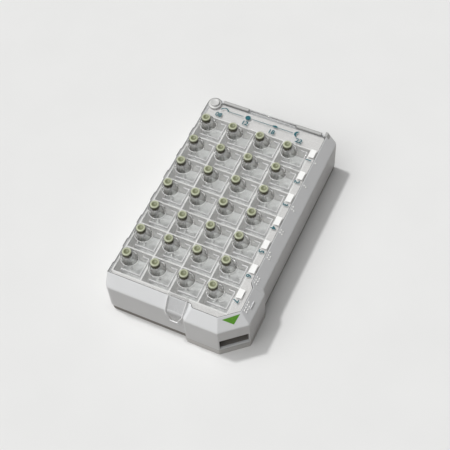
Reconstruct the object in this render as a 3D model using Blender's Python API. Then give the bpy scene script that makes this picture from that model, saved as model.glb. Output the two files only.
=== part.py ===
"""Weekly pill box: 28 compartments under one clear lid, each with its own press button and trapdoor.

Each button slides in the neck of a dome that is moulded with the lid. Pressing it pushes its stem
against the trapdoor that closes the compartment from below.
The pills drop onto the floor of the base and leave by the mouth in the front right corner.
Lengths are in metres. X runs to the right, Y to the rear and Z up, with the origin on the table
under the middle of the box. Day 1 is the row at the rear and day 7 the row at the front.
"""

import math

import bmesh
import bpy
from mathutils import Vector

# Compartments
DAYS = 7
SLOTS = 4
SLOT_PITCH = 0.0250
DAY_PITCH = 0.02434
CELL_WALL = 0.0012
CELL_DEPTH = 0.0140

# Running gap between pieces, and how far a cut runs past what it cuts
GAP = 0.0003
OVERRUN = 0.0040

# Housing
BODY_HEIGHT = 0.0445
BEVEL_RUN = 0.0084
BEVEL_DROP = 0.0096
BEVEL_SOFTENING = 0.0009
DRAFT = 0.0003
HOUSING_WALL = 0.0020
LEFT_WALL = 0.0015
LEDGE_THICKNESS = 0.0018
RIM_LAND = 0.0003
LEFT_MARGIN = 0.0021
FRONT_MARGIN = 0.0040
RIGHT_MARGIN = 0.0070
REAR_MARGIN = 0.0159
FRONT_LEFT_RADIUS = 0.0050
REAR_RIGHT_RADIUS = 0.0035
REAR_LEFT_RADIUS = 0.0060
CRISP_RADIUS = 0.0012
SCOOP_RADIUS = 0.0060
SCOOP_DEPTH = 0.0010
SCOOP_DROP = 0.0025
SCOOP_SIDES = 14
LEFT_LAND = 0.0002

# Spout block in the front right corner
SPOUT_BULGE = 0.0029
SPOUT_ACROSS = 0.0481
SPOUT_BACK = 0.0463
SPOUT_STEP = 0.0040
CHAMFER_ACROSS = 0.0198
CHAMFER_BACK = 0.0169
MOUTH_JAMB = 0.0011
MOUTH_SILL = 0.0087
MOUTH_TOP = 0.0217
MOUTH_DEPTH = 0.0060

# Raised bar on the bevel beside the spout
BAR_LENGTH = 0.0071
BAR_WIDTH = 0.0010
BAR_HEIGHT = 0.0005
BAR_START = 0.0279
BAR_ALONG_BEVEL = 0.0059

# Base
PLINTH_HEIGHT = 0.0062
PLINTH_INSET = 0.0010
FLOOR_THICKNESS = 0.0016
RIM_THICKNESS = 0.0015
RIM_HEIGHT = 0.0048

# Tray
FLANGE_THICKNESS = 0.0012
FLANGE_LEFT_INSET = 0.0010

# Trapdoors
DOOR_THICKNESS = 0.0012
BEAD_RADIUS = 0.0009
BEAD_SIDES = 10
CHANNEL_LIP = 0.0008
CHANNEL_SLOPE = 0.0008
CHANNEL_COVER = 0.0006
STOP_DEPTH = 0.0009
STOP_HEIGHT = 0.0008
TIP_CHAMFER = 0.0004

# Lid
LID_THICKNESS = 0.0018
HINGE_RADIUS = 0.0018
HINGE_BACK = 0.0030
HINGE_SIDES = 16
PIN_RADIUS = 0.0009
PIN_LENGTH = 0.0030
PIN_ROOT = 0.0010
REAR_KNUCKLE_START = 0.0128
LID_KNUCKLE_START = 0.0367
LID_KNUCKLE_LENGTH = 0.0441
REAR_KNUCKLE_END = 0.1039
TROUGH_SPARE = 0.0030
KNUCKLE_HEEL = 0.0016
EAR_RADIUS = 0.0064
EAR_REACH = 0.0034
EAR_STEPS = 10
STUD_RADIUS = 0.0040
STUD_HEIGHT = 0.0023
STUD_EDGE = 0.0004
COLLAR_RADIUS = 0.0056
COLLAR_HEIGHT = 0.0004
STUD_SIDES = 16
NOTCH_DEPTH = 0.0008
NOTCH_SLOPE = 0.0006
NOTCH_REAR_GAP = 0.0020
NOTCH_FRONT_GAP = 0.0060
RIB_THICKNESS = 0.0008
RIB_DROP = 0.0024
RIB_SIDE_INSET = 0.0014
RIB_END_INSET = 0.0030
RIB_FRONT_START = 0.0060

# Latch tongue, moulded on the front edge of the lid
TONGUE_OFFSET = 0.0101
TONGUE_THICKNESS = 0.0013
TONGUE_STANDOFF = 0.0004
TONGUE_ROOT = 0.0020
TONGUE_ROOT_WIDTH = 0.0168
TONGUE_FOOT_WIDTH = 0.0156
TONGUE_END_WIDTH = 0.0080
TONGUE_DROP = 0.0085
TONGUE_LIP = 0.0012

# Domes of the lid, with heights above its top face
DOME_SIDES = 10
DOME_RADIUS = 0.00705
DOME_SIDE_GAP = 0.00125
DOME_REAR_GAP = 0.00285
DOME_WALL = 0.0010
SHOULDER_HEIGHT = 0.0010
DOME_MID_RADIUS = 0.0060
DOME_MID_HEIGHT = 0.0048
NECK_OFFSET = 0.0015
NECK_WALL = 0.0007
NECK_HEIGHT = 0.0070
NECK_DEPTH = 0.0010

# Buttons, with heights above the lid's top face
BUTTON_RADIUS = 0.00375
BUTTON_FOOT_HEIGHT = 0.0040
BUTTON_TOP_HEIGHT = 0.0100
DISH_RADIUS = 0.0029
DISH_DEPTH = 0.0007
STEM_RADIUS = 0.0010
STEM_GAP = 0.00035

# Heights worked out from the sizes above
LID_BOTTOM = BODY_HEIGHT - LID_THICKNESS
TRAY_TOP = LID_BOTTOM - GAP
LEDGE_TOP = TRAY_TOP - FLANGE_THICKNESS - GAP
DOOR_TOP = TRAY_TOP - CELL_DEPTH
DOOR_AXIS = DOOR_TOP - DOOR_THICKNESS / 2
CHANNEL_REACH = BEAD_RADIUS + GAP
TRAY_BOTTOM = DOOR_AXIS - CHANNEL_REACH - CHANNEL_LIP
PARTING = PLINTH_HEIGHT + GAP
BEVEL_FOOT = BODY_HEIGHT - BEVEL_DROP
FLOOR_TOP = MOUTH_SILL - GAP

# Places in plan worked out from the sizes above
GRID_WIDTH = SLOTS * SLOT_PITCH
GRID_LENGTH = DAYS * DAY_PITCH
WIDTH = LEFT_MARGIN + GRID_WIDTH + RIGHT_MARGIN + BEVEL_RUN + SPOUT_BULGE
HINGE_SETBACK = REAR_MARGIN + GAP + HINGE_RADIUS
LENGTH = SPOUT_BULGE + BEVEL_RUN + FRONT_MARGIN + GRID_LENGTH + HINGE_SETBACK + HINGE_BACK
LEFT_FACE = -WIDTH / 2
RIGHT_FACE = WIDTH / 2 - SPOUT_BULGE
FRONT_FACE = -LENGTH / 2 + SPOUT_BULGE
REAR_FACE = LENGTH / 2
GRID_LEFT = LEFT_FACE + LEFT_MARGIN
GRID_FRONT = FRONT_FACE + BEVEL_RUN + FRONT_MARGIN
SPOUT_LEFT = RIGHT_FACE + SPOUT_BULGE - SPOUT_ACROSS
SPOUT_REAR = FRONT_FACE - SPOUT_BULGE + SPOUT_BACK
HINGE_Y = REAR_FACE - HINGE_BACK
HINGE_Z = LID_BOTTOM
LID_REAR = HINGE_Y - HINGE_RADIUS - GAP
LID_CORNER_REAR = HINGE_Y - math.hypot(HINGE_RADIUS, LID_THICKNESS) - GAP
TROUGH_END = LEFT_FACE + REAR_KNUCKLE_END + TROUGH_SPARE
SLOT_LETTERS = "abcd"


def make_material(name, colour, roughness, alpha=1.0, transmission=0.0):
    """A Principled plastic of this colour."""
    material = bpy.data.materials.new(name)
    material.use_nodes = True
    shader = material.node_tree.nodes["Principled BSDF"]
    shader.inputs["Base Color"].default_value = (*colour, 1.0)
    shader.inputs["Roughness"].default_value = roughness
    shader.inputs["Metallic"].default_value = 0.0
    shader.inputs["Alpha"].default_value = alpha
    shader.inputs["Transmission Weight"].default_value = transmission
    return material


def make_mesh(name, points, faces):
    """A mesh whose faces all point outwards."""
    mesh = bpy.data.meshes.new(name)
    mesh.from_pydata([tuple(p) for p in points], [], faces)
    shape = bmesh.new()
    shape.from_mesh(mesh)
    bmesh.ops.recalc_face_normals(shape, faces=shape.faces)
    shape.to_mesh(mesh)
    shape.free()
    return mesh


def add_piece(name, mesh, material, origin=(0.0, 0.0, 0.0)):
    """A visible piece whose mesh is given in world coordinates, with its origin moved to a joint's axis."""
    mesh.materials.append(material)
    piece = bpy.data.objects.new(name, mesh)
    bpy.context.scene.collection.objects.link(piece)
    for vertex in mesh.vertices:
        vertex.co -= Vector(origin)
    piece.location = origin
    return piece


def add_helper(name, mesh):
    """A shape that only cuts or joins, and isn't rendered itself."""
    helper = bpy.data.objects.new(name, mesh)
    bpy.context.scene.collection.objects.link(helper)
    helper.hide_render = True
    helper.display_type = "WIRE"
    return helper


def combine(piece, helper, operation):
    """Adds one exact Boolean to a piece."""
    modifier = piece.modifiers.new(f"{operation.lower()} {helper.name}", "BOOLEAN")
    modifier.operation = operation
    modifier.solver = "EXACT"
    modifier.object = helper


def loft(name, rings):
    """A closed shape through rings of equal point counts, capped at both ends."""
    points, faces = ring_faces(rings, len(rings) - 1)
    count = len(rings[0])
    faces.append(tuple(reversed(range(count))))
    faces.append(tuple(range((len(rings) - 1) * count, len(rings) * count)))
    return make_mesh(name, points, faces)


def hoop(name, rings):
    """A closed shape through rings of equal point counts, the last of which joins the first."""
    return make_mesh(name, *ring_faces(rings, len(rings)))


def ring_faces(rings, bands):
    """The points of some rings and the faces of the bands between them."""
    count = len(rings[0])
    points = [p for ring in rings for p in ring]
    faces = []
    for r in range(bands):
        low, high = r * count, (r + 1) % len(rings) * count
        for i in range(count):
            j = (i + 1) % count
            faces.append((low + i, low + j, high + j, high + i))
    return points, faces


def level(outline, z):
    """A plan outline lifted to one height."""
    return [(x, y, z) for x, y in outline]


def prism(name, outline, low, high):
    """A plan outline carried from one height to another."""
    return loft(name, [level(outline, low), level(outline, high)])


def box_outline(left, front, right, rear):
    """A rectangle in plan, anticlockwise."""
    return [(left, front), (right, front), (right, rear), (left, rear)]


def many(name, solids):
    """One mesh that holds several separate closed shapes, for use as a helper."""
    points, faces = [], []
    for solid in solids:
        start = len(points)
        points += [tuple(v.co) for v in solid.vertices]
        faces += [tuple(start + i for i in f.vertices) for f in solid.polygons]
        bpy.data.meshes.remove(solid)
    return make_mesh(name, points, faces)


def rod(name, start, length, radius, sides, y, z):
    """A solid bar along X with a regular section."""
    angles = [2 * math.pi * (k + 0.5) / sides for k in range(sides)]
    ring = [(y + radius * math.cos(a), z + radius * math.sin(a)) for a in angles]
    return loft(name, [[(x, *p) for p in ring] for x in (start, start + length)])


def body_corners():
    """Corners of the housing wall at the foot of its bevel, anticlockwise from the front left."""
    spout_right = RIGHT_FACE + SPOUT_BULGE
    spout_front = FRONT_FACE - SPOUT_BULGE
    return [
        (LEFT_FACE, FRONT_FACE),
        (SPOUT_LEFT - SPOUT_BULGE, FRONT_FACE),
        (SPOUT_LEFT, spout_front),
        (spout_right - CHAMFER_ACROSS, spout_front),
        (spout_right, spout_front + CHAMFER_BACK),
        (spout_right, SPOUT_REAR),
        (RIGHT_FACE, SPOUT_REAR + SPOUT_STEP),
        (RIGHT_FACE, REAR_FACE),
        (LEFT_FACE, REAR_FACE),
    ]


CORNER_STEPS = [5, 0, 0, 2, 2, 0, 0, 7, 5]
SPOUT_EDGES = (1, 2, 3, 4, 5)
BEVELLED_EDGES = 7


def edge_insets(bevelled, rear, left):
    """One inset for each edge of the body outline."""
    return [bevelled] * BEVELLED_EDGES + [rear, left]


def inset_outline(corners, insets):
    """Moves each edge inwards by its own inset and meets the moved edges again."""
    count = len(corners)
    lines = []
    for i, inset in enumerate(insets):
        start, end = Vector(corners[i]), Vector(corners[(i + 1) % count])
        along = (end - start).normalized()
        inwards = Vector((-along.y, along.x))
        lines.append((start + inwards * inset, along))
    moved = []
    for i in range(count):
        (p, u), (q, v) = lines[i - 1], lines[i]
        cross = u.x * v.y - u.y * v.x
        distance = ((q.x - p.x) * v.y - (q.y - p.y) * v.x) / cross
        moved.append(p + u * distance)
    return moved


def rounded(corners, radii, steps):
    """Replaces each corner by an arc of its own radius."""
    outline = []
    count = len(corners)
    for i, corner in enumerate(corners):
        if not steps[i]:
            outline.append((corner.x, corner.y))
            continue
        back = (corners[i - 1] - corner).normalized()
        ahead = (corners[(i + 1) % count] - corner).normalized()
        half = back.angle(ahead) / 2
        centre = corner + (back + ahead).normalized() * (radii[i] / math.sin(half))
        start = corner + back * (radii[i] / math.tan(half)) - centre
        end = corner + ahead * (radii[i] / math.tan(half)) - centre
        first = math.atan2(start.y, start.x)
        sweep = math.atan2(start.x * end.y - start.y * end.x, start.dot(end))
        for k in range(steps[i] + 1):
            angle = first + sweep * k / steps[i]
            outline.append((centre.x + radii[i] * math.cos(angle), centre.y + radii[i] * math.sin(angle)))
    return outline


def body_outline(bevelled, rear=0.0, left=0.0):
    """The body outline with its edges moved inwards, and its corners rounded to suit."""
    radii = [CRISP_RADIUS] * len(CORNER_STEPS)
    radii[0] = max(FRONT_LEFT_RADIUS - max(bevelled, left), CRISP_RADIUS)
    radii[7] = max(REAR_RIGHT_RADIUS - max(bevelled, rear), CRISP_RADIUS)
    radii[8] = max(REAR_LEFT_RADIUS - max(rear, left), CRISP_RADIUS)
    corners = inset_outline(body_corners(), edge_insets(bevelled, rear, left))
    return rounded(corners, radii, CORNER_STEPS)


def bevel_inset(z):
    """How far the outer face of the bevel lies inside the wall at a height."""
    return BEVEL_RUN * (z - BEVEL_FOOT) / BEVEL_DROP


def pocket_outline(inset, rear_edge, left_edge):
    """The plan of what sits in the mouth of the housing, with its own rear and left edges."""
    across = BEVEL_RUN + RIM_LAND + inset
    insets = edge_insets(across, REAR_FACE - rear_edge, left_edge - LEFT_FACE)
    return [(p.x, p.y) for p in inset_outline(body_corners(), insets)]


def housing_outer():
    """The outside of the housing: drafted walls, a softened edge, and the wide bevel up to the rim."""
    soft_low = BEVEL_FOOT - BEVEL_SOFTENING
    soft_high = BEVEL_FOOT + BEVEL_SOFTENING
    middle = (bevel_inset(soft_high) + 0.0) / 4
    return loft(
        "housing",
        [
            level(body_outline(DRAFT, DRAFT, DRAFT), PARTING),
            level(body_outline(0.0), soft_low),
            level(body_outline(middle), BEVEL_FOOT),
            level(body_outline(bevel_inset(soft_high)), soft_high),
            level(body_outline(BEVEL_RUN), BODY_HEIGHT),
        ],
    )


def housing_inner():
    """The hollow of the housing, which follows its walls and bevel at the wall thickness."""
    bevel_wall = HOUSING_WALL * math.hypot(BEVEL_RUN, BEVEL_DROP) / BEVEL_DROP
    ceiling = LEDGE_TOP - LEDGE_THICKNESS
    knee = BEVEL_FOOT - (bevel_wall - HOUSING_WALL) * BEVEL_DROP / BEVEL_RUN
    wall = (HOUSING_WALL, HOUSING_WALL, LEFT_WALL - LEFT_LAND)
    return loft(
        "housing hollow",
        [
            level(body_outline(*(DRAFT + w for w in wall)), PARTING - OVERRUN),
            level(body_outline(*(DRAFT + w for w in wall)), PARTING),
            level(body_outline(*wall), knee),
            level(body_outline(bevel_inset(ceiling) + bevel_wall, *wall[1:]), ceiling),
        ],
    )


def mouth_outline():
    """The plan of the cut that opens the chamfered corner."""
    corners = body_corners()
    left, right = Vector(corners[3]), Vector(corners[4])
    along = (right - left).normalized()
    outwards = Vector((along.y, -along.x))
    jamb = along * MOUTH_JAMB
    return [
        left + jamb + outwards * OVERRUN,
        right - jamb + outwards * OVERRUN,
        right - jamb - outwards * MOUTH_DEPTH,
        left + jamb - outwards * MOUTH_DEPTH,
    ]


def knuckle(name, start, end):
    """A hinge knuckle of the housing and the block that it stands on, on the rear wall."""
    foot = HINGE_Z - HINGE_RADIUS - GAP - LEDGE_THICKNESS / 2
    first = -math.acos(KNUCKLE_HEEL / HINGE_RADIUS)
    steps = HINGE_SIDES // 2 + 1
    angles = [first + (math.pi - first) * k / steps for k in range(steps + 1)]
    profile = [(HINGE_Y + HINGE_RADIUS * math.cos(a), HINGE_Z + HINGE_RADIUS * math.sin(a)) for a in angles]
    profile += [(HINGE_Y - HINGE_RADIUS, foot), (HINGE_Y + KNUCKLE_HEEL, foot)]
    return loft(name, [[(x, y, z) for y, z in profile] for x in (start, end)])


def bevel_bar():
    """The raised bar on the bevel beside the spout."""
    right = RIGHT_FACE + SPOUT_BULGE
    slope = math.hypot(BEVEL_RUN, BEVEL_DROP)
    up = Vector((-BEVEL_RUN / slope, BEVEL_DROP / slope))
    out = Vector((up.y, -up.x))
    foot = Vector((right, BEVEL_FOOT))
    profile = [
        foot + up * (BAR_ALONG_BEVEL + along) + out * height
        for along, height in (
            (0.0, -BAR_HEIGHT),
            (BAR_WIDTH, -BAR_HEIGHT),
            (BAR_WIDTH, BAR_HEIGHT),
            (0.0, BAR_HEIGHT),
        )
    ]
    start = FRONT_FACE - SPOUT_BULGE + BAR_START
    return loft("bevel bar", [[(p.x, y, p.y) for p in profile] for y in (start, start + BAR_LENGTH)])


def make_housing(material):
    """The upper shell: walls and bevelled rim, the ledge that carries the tray, the hinge and the mouth."""
    housing = add_piece("housing", housing_outer(), material)
    lid_start = LEFT_FACE + LID_KNUCKLE_START
    lid_end = lid_start + LID_KNUCKLE_LENGTH
    knuckle_end = LEFT_FACE + REAR_KNUCKLE_END
    well = box_outline(
        GRID_LEFT - (LEFT_MARGIN - LEFT_WALL),
        GRID_FRONT - CELL_WALL / 2 - GAP,
        GRID_LEFT + GRID_WIDTH + CELL_WALL / 2 + GAP,
        GRID_FRONT + GRID_LENGTH + CELL_WALL / 2 + GAP,
    )
    trough = box_outline(LEFT_FACE - OVERRUN, LID_REAR, TROUGH_END, REAR_FACE + OVERRUN)
    lid_pocket = pocket_outline(0.0, LID_REAR + GAP, LEFT_FACE - OVERRUN)
    flange_pocket = pocket_outline(GAP, LID_REAR - GAP, LEFT_FACE + LEFT_WALL + FLANGE_LEFT_INSET)
    trough_floor = HINGE_Z - HINGE_RADIUS - GAP
    above = BODY_HEIGHT + OVERRUN
    cuts = [
        housing_inner(),
        prism("lid pocket", lid_pocket, TRAY_TOP, above),
        prism("tray flange pocket", flange_pocket, LEDGE_TOP, above),
        prism("tray well", well, LEDGE_TOP - LEDGE_THICKNESS - OVERRUN, above),
        prism("hinge trough", trough, trough_floor, above),
        prism("mouth", [tuple(p) for p in mouth_outline()], MOUTH_SILL, MOUTH_TOP),
        finger_scoop(),
    ]
    for mesh in cuts:
        combine(housing, add_helper(mesh.name, mesh), "DIFFERENCE")
    joins = [
        knuckle("left knuckle", LEFT_FACE + REAR_KNUCKLE_START, lid_start - GAP),
        knuckle("right knuckle", lid_end + GAP, knuckle_end),
        bevel_bar(),
    ]
    for mesh in joins:
        combine(housing, add_helper(mesh.name, mesh), "UNION")
    reach = PIN_LENGTH + GAP
    sockets = [
        rod("left socket", lid_start - GAP - reach, reach + OVERRUN, PIN_RADIUS + GAP, HINGE_SIDES, HINGE_Y, HINGE_Z),
        rod("right socket", lid_end + GAP - OVERRUN, reach + OVERRUN, PIN_RADIUS + GAP, HINGE_SIDES, HINGE_Y, HINGE_Z),
    ]
    for mesh in sockets:
        combine(housing, add_helper(mesh.name, mesh), "DIFFERENCE")
    return housing


def tongue_centre():
    """Where the latch tongue stands across the front of the box."""
    return SPOUT_LEFT - TONGUE_OFFSET


def tongue_end_height():
    """Height of the lower end of the latch tongue above the table."""
    return BEVEL_FOOT - TONGUE_DROP


def finger_scoop():
    """A shallow round hollow in the front wall, which lets a fingertip under the latch tongue."""
    ring = []
    for k in range(SCOOP_SIDES):
        angle = 2 * math.pi * k / SCOOP_SIDES
        ring.append((tongue_centre() + SCOOP_RADIUS * math.cos(angle), SCOOP_RADIUS * math.sin(angle)))
    height = tongue_end_height() - SCOOP_DROP
    near = [(x, FRONT_FACE - OVERRUN, height + z) for x, z in ring]
    far = [(x, FRONT_FACE + SCOOP_DEPTH, height + z) for x, z in ring]
    return loft("finger scoop", [near, far])


def make_base(material):
    """The lower shell: a plinth, the raised floor that the pills drop on, and the rim that locates the housing."""
    corners = body_corners()
    plinth = [DRAFT + PLINTH_INSET] * len(corners)
    for edge in SPOUT_EDGES:
        plinth[edge] = DRAFT
    rim = [DRAFT + HOUSING_WALL + GAP] * len(corners)
    rim[-1] = DRAFT + LEFT_WALL + GAP
    hollow = [inset + RIM_THICKNESS for inset in rim]
    radii = [FRONT_LEFT_RADIUS - PLINTH_INSET] + [CRISP_RADIUS] * 6
    radii += [REAR_RIGHT_RADIUS - PLINTH_INSET, REAR_LEFT_RADIUS - PLINTH_INSET]
    tight = [CRISP_RADIUS] * len(corners)
    tight[0] = FRONT_LEFT_RADIUS - HOUSING_WALL
    tight[7] = REAR_RIGHT_RADIUS - HOUSING_WALL
    tight[8] = REAR_LEFT_RADIUS - HOUSING_WALL
    foot_outline = rounded(inset_outline(corners, plinth), radii, CORNER_STEPS)
    rim_outline = rounded(inset_outline(corners, rim), tight, CORNER_STEPS)
    hollow_outline = rounded(inset_outline(corners, hollow), tight, CORNER_STEPS)
    top = PLINTH_HEIGHT + RIM_HEIGHT
    shell = loft(
        "base",
        [
            level(foot_outline, 0.0),
            level(foot_outline, PLINTH_HEIGHT),
            level(rim_outline, PLINTH_HEIGHT),
            level(rim_outline, top),
        ],
    )
    base = add_piece("base", shell, material)
    cuts = [
        prism("base hollow", hollow_outline, FLOOR_TOP, top + OVERRUN),
        prism("base underside", hollow_outline, -OVERRUN, FLOOR_TOP - FLOOR_THICKNESS),
        prism("base mouth", [tuple(p) for p in mouth_outline()], FLOOR_TOP, top + OVERRUN),
    ]
    for mesh in cuts:
        combine(base, add_helper(mesh.name, mesh), "DIFFERENCE")
    return base


def cell_corner(day, slot):
    """The front left corner of a compartment on the grid lines, day 0 at the rear."""
    return GRID_LEFT + slot * SLOT_PITCH, GRID_FRONT + (DAYS - 1 - day) * DAY_PITCH


def every_cell():
    """The day and slot numbers of all compartments."""
    return [(day, slot) for day in range(DAYS) for slot in range(SLOTS)]


def door_axis_x():
    """Distance from a compartment's left grid line to the hinge axis of its trapdoor."""
    return CELL_WALL / 2 + GAP + BEAD_RADIUS


def cell_hollow(day, slot):
    """The hollow of one compartment: an X and Z profile with the door's channel on its left, carried along Y."""
    left, front = cell_corner(day, slot)
    near = left + CELL_WALL / 2
    far = left + SLOT_PITCH - CELL_WALL / 2
    axis = left + door_axis_x()
    roof = DOOR_AXIS + CHANNEL_REACH
    stop = DOOR_TOP + GAP
    cover = axis + CHANNEL_COVER
    below = TRAY_BOTTOM - OVERRUN
    above = TRAY_TOP + OVERRUN
    profile = [
        (far, above),
        (near, above),
        (near, roof + CHANNEL_LIP + CHANNEL_SLOPE),
        (cover, roof + CHANNEL_LIP),
        (cover, roof),
        (near, roof),
        (near, DOOR_AXIS - CHANNEL_REACH),
        (axis - TIP_CHAMFER, DOOR_AXIS - CHANNEL_REACH),
        (axis - TIP_CHAMFER, below),
        (far, below),
        (far, stop),
        (far - STOP_DEPTH, stop),
        (far - STOP_DEPTH, stop + STOP_HEIGHT),
        (far, stop + STOP_HEIGHT + STOP_DEPTH),
    ]
    ends = (front + CELL_WALL / 2, front + DAY_PITCH - CELL_WALL / 2)
    return loft(f"hollow {day} {slot}", [[(x, y, z) for x, z in profile] for y in ends])


def make_tray(material):
    """The tray: open compartments in one moulding, hung in the housing by its flange."""
    block_outline = box_outline(
        LEFT_FACE + LEFT_WALL + GAP,
        GRID_FRONT - CELL_WALL / 2,
        GRID_LEFT + GRID_WIDTH + CELL_WALL / 2,
        GRID_FRONT + GRID_LENGTH + CELL_WALL / 2,
    )
    flange_left = LEFT_FACE + LEFT_WALL + FLANGE_LEFT_INSET + GAP
    flange_outline = pocket_outline(2 * GAP, LID_REAR - 2 * GAP, flange_left)
    tray = add_piece(
        "pill_tray", prism("pill_tray", flange_outline, TRAY_TOP - FLANGE_THICKNESS, TRAY_TOP), material
    )
    block_top = TRAY_TOP - FLANGE_THICKNESS / 2
    block = add_helper("tray block", prism("tray block", block_outline, TRAY_BOTTOM, block_top))
    combine(tray, block, "UNION")
    hollows = add_helper("tray hollows", many("tray hollows", [cell_hollow(d, s) for d, s in every_cell()]))
    combine(tray, hollows, "DIFFERENCE")
    return tray


def door_profile():
    """Outline of a trapdoor in X and Z about its hinge axis: a round bead and a flat plate."""
    half = DOOR_THICKNESS / 2
    tip = SLOT_PITCH - CELL_WALL / 2 - GAP - door_axis_x()
    opening = math.asin(half / BEAD_RADIUS)
    sweep = 2 * (math.pi - opening)
    angles = [opening + sweep * k / (BEAD_SIDES - 2) for k in range(BEAD_SIDES - 1)]
    bead = [(BEAD_RADIUS * math.cos(a), BEAD_RADIUS * math.sin(a)) for a in angles]
    plate = [(tip - TIP_CHAMFER, -half), (tip, -half + TIP_CHAMFER), (tip, half)]
    return bead + plate


def make_doors(material):
    """One trapdoor for each compartment, with its origin on its hinge axis."""
    reach = (DAY_PITCH - CELL_WALL) / 2 - GAP
    mesh = loft("trapdoor", [[(x, y, z) for x, z in door_profile()] for y in (-reach, reach)])
    mesh.materials.append(material)
    doors = []
    for day, slot in every_cell():
        left, front = cell_corner(day, slot)
        door = bpy.data.objects.new(f"trapdoor_day{day + 1}_{SLOT_LETTERS[slot]}", mesh)
        bpy.context.scene.collection.objects.link(door)
        door.location = (left + door_axis_x(), front + DAY_PITCH / 2, DOOR_AXIS)
        doors.append(door)
    return doors


def dome_place():
    """Centre of a dome in its compartment, from the compartment's front left grid corner."""
    across = CELL_WALL / 2 + DOME_SIDE_GAP + DOME_RADIUS
    back = DAY_PITCH - CELL_WALL / 2 - DOME_REAR_GAP - DOME_RADIUS
    return across, back


def ring_at(radius, z, sides=DOME_SIDES, place=(0.0, 0.0)):
    """A level ring of points round a place."""
    angles = [2 * math.pi * (k + 0.5) / sides for k in range(sides)]
    x, y = place
    return [(x + radius * math.cos(a), y + radius * math.sin(a), z) for a in angles]


def dome_shell(x, y):
    """A dome of the lid: a hollow shell that leans to the left and narrows to a neck for its button."""
    foot = -LID_THICKNESS / 2
    neck = BUTTON_RADIUS + GAP
    sizes = [
        (DOME_RADIUS, foot, 0.0),
        (DOME_RADIUS, SHOULDER_HEIGHT, 0.0),
        (DOME_MID_RADIUS, DOME_MID_HEIGHT, NECK_OFFSET / 2),
        (neck + NECK_WALL, NECK_HEIGHT, NECK_OFFSET),
        (neck, NECK_HEIGHT, NECK_OFFSET),
        (neck, NECK_HEIGHT - NECK_DEPTH, NECK_OFFSET),
        (DOME_MID_RADIUS - DOME_WALL, DOME_MID_HEIGHT - DOME_WALL / 2, NECK_OFFSET / 2),
        (DOME_RADIUS - DOME_WALL, foot, 0.0),
    ]
    rings = [ring_at(r, BODY_HEIGHT + z, place=(x - shift, y)) for r, z, shift in sizes]
    return hoop("dome", rings)


def button_mesh():
    """A button about its slide axis, with the lid's top face at zero height: stem, round body and dished top.

    The stem stands under the middle of the dome, which is to the right of the neck.
    """
    stem_end = DOOR_TOP + STEM_GAP - BODY_HEIGHT
    rings = [
        ring_at(STEM_RADIUS, stem_end, place=(NECK_OFFSET, 0.0)),
        ring_at(STEM_RADIUS, BUTTON_FOOT_HEIGHT, place=(NECK_OFFSET, 0.0)),
        ring_at(BUTTON_RADIUS, BUTTON_FOOT_HEIGHT),
        ring_at(BUTTON_RADIUS, BUTTON_TOP_HEIGHT),
        ring_at(DISH_RADIUS, BUTTON_TOP_HEIGHT),
        ring_at(DISH_RADIUS / 2, BUTTON_TOP_HEIGHT - DISH_DEPTH),
    ]
    mesh = loft("button", rings)
    mesh.shade_smooth()
    mesh.set_sharp_from_angle(angle=math.radians(40))
    return mesh


def make_buttons(lid, material):
    """One button for each compartment, carried by the lid, with its origin on its slide axis."""
    mesh = button_mesh()
    mesh.materials.append(material)
    across, back = dome_place()
    for day, slot in every_cell():
        left, front = cell_corner(day, slot)
        button = bpy.data.objects.new(f"button_day{day + 1}_{SLOT_LETTERS[slot]}", mesh)
        bpy.context.scene.collection.objects.link(button)
        button.parent = lid
        button.location = Vector((left + across - NECK_OFFSET, front + back, BODY_HEIGHT)) - lid.location


def lid_outline():
    """The lid in plan: straight edges, the round ear at the rear left, and a grip notch beside each day.

    Right of the hinge trough its rear edge is set back, so that it swings clear of the rear wall.
    """
    corners = pocket_outline(GAP, LID_CORNER_REAR, LEFT_FACE)[:-1]
    corners += [(TROUGH_END - GAP, LID_CORNER_REAR), (TROUGH_END - GAP, LID_REAR)]
    web_left = LEFT_FACE + LID_KNUCKLE_START
    web_right = web_left + LID_KNUCKLE_LENGTH
    corners += [(web_right, LID_REAR), (web_right, HINGE_Y), (web_left, HINGE_Y), (web_left, LID_REAR)]
    ear_x = LEFT_FACE + EAR_RADIUS
    ear_y = LID_REAR + EAR_REACH - EAR_RADIUS
    first = math.asin((LID_REAR - ear_y) / EAR_RADIUS)
    for k in range(EAR_STEPS + 1):
        angle = first + (math.pi - first) * k / EAR_STEPS
        corners.append((ear_x + EAR_RADIUS * math.cos(angle), ear_y + EAR_RADIUS * math.sin(angle)))
    for day in range(DAYS):
        front = cell_corner(day, 0)[1]
        high = front + DAY_PITCH - NOTCH_REAR_GAP
        low = front + NOTCH_FRONT_GAP
        corners += [
            (LEFT_FACE, high),
            (LEFT_FACE + NOTCH_DEPTH, high - NOTCH_SLOPE),
            (LEFT_FACE + NOTCH_DEPTH, low + NOTCH_SLOPE),
            (LEFT_FACE, low),
        ]
    return corners


def lid_rib(day, slot):
    """A locating rib under the lid, shaped like a square bracket, which stands inside the compartment."""
    left, front = cell_corner(day, slot)
    across, _ = dome_place()
    right = left + SLOT_PITCH - CELL_WALL / 2 - RIB_SIDE_INSET
    low = front + CELL_WALL / 2 + RIB_END_INSET
    high = front + DAY_PITCH - CELL_WALL / 2 - RIB_END_INSET
    rear_start = left + across + DOME_RADIUS + 2 * RIB_THICKNESS
    front_start = left + RIB_FRONT_START
    outline = [
        (front_start, low),
        (right, low),
        (right, high),
        (rear_start, high),
        (rear_start, high - RIB_THICKNESS),
        (right - RIB_THICKNESS, high - RIB_THICKNESS),
        (right - RIB_THICKNESS, low + RIB_THICKNESS),
        (front_start, low + RIB_THICKNESS),
    ]
    return prism(f"rib {day} {slot}", outline, LID_BOTTOM - RIB_DROP, LID_BOTTOM + LID_THICKNESS / 2)


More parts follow.
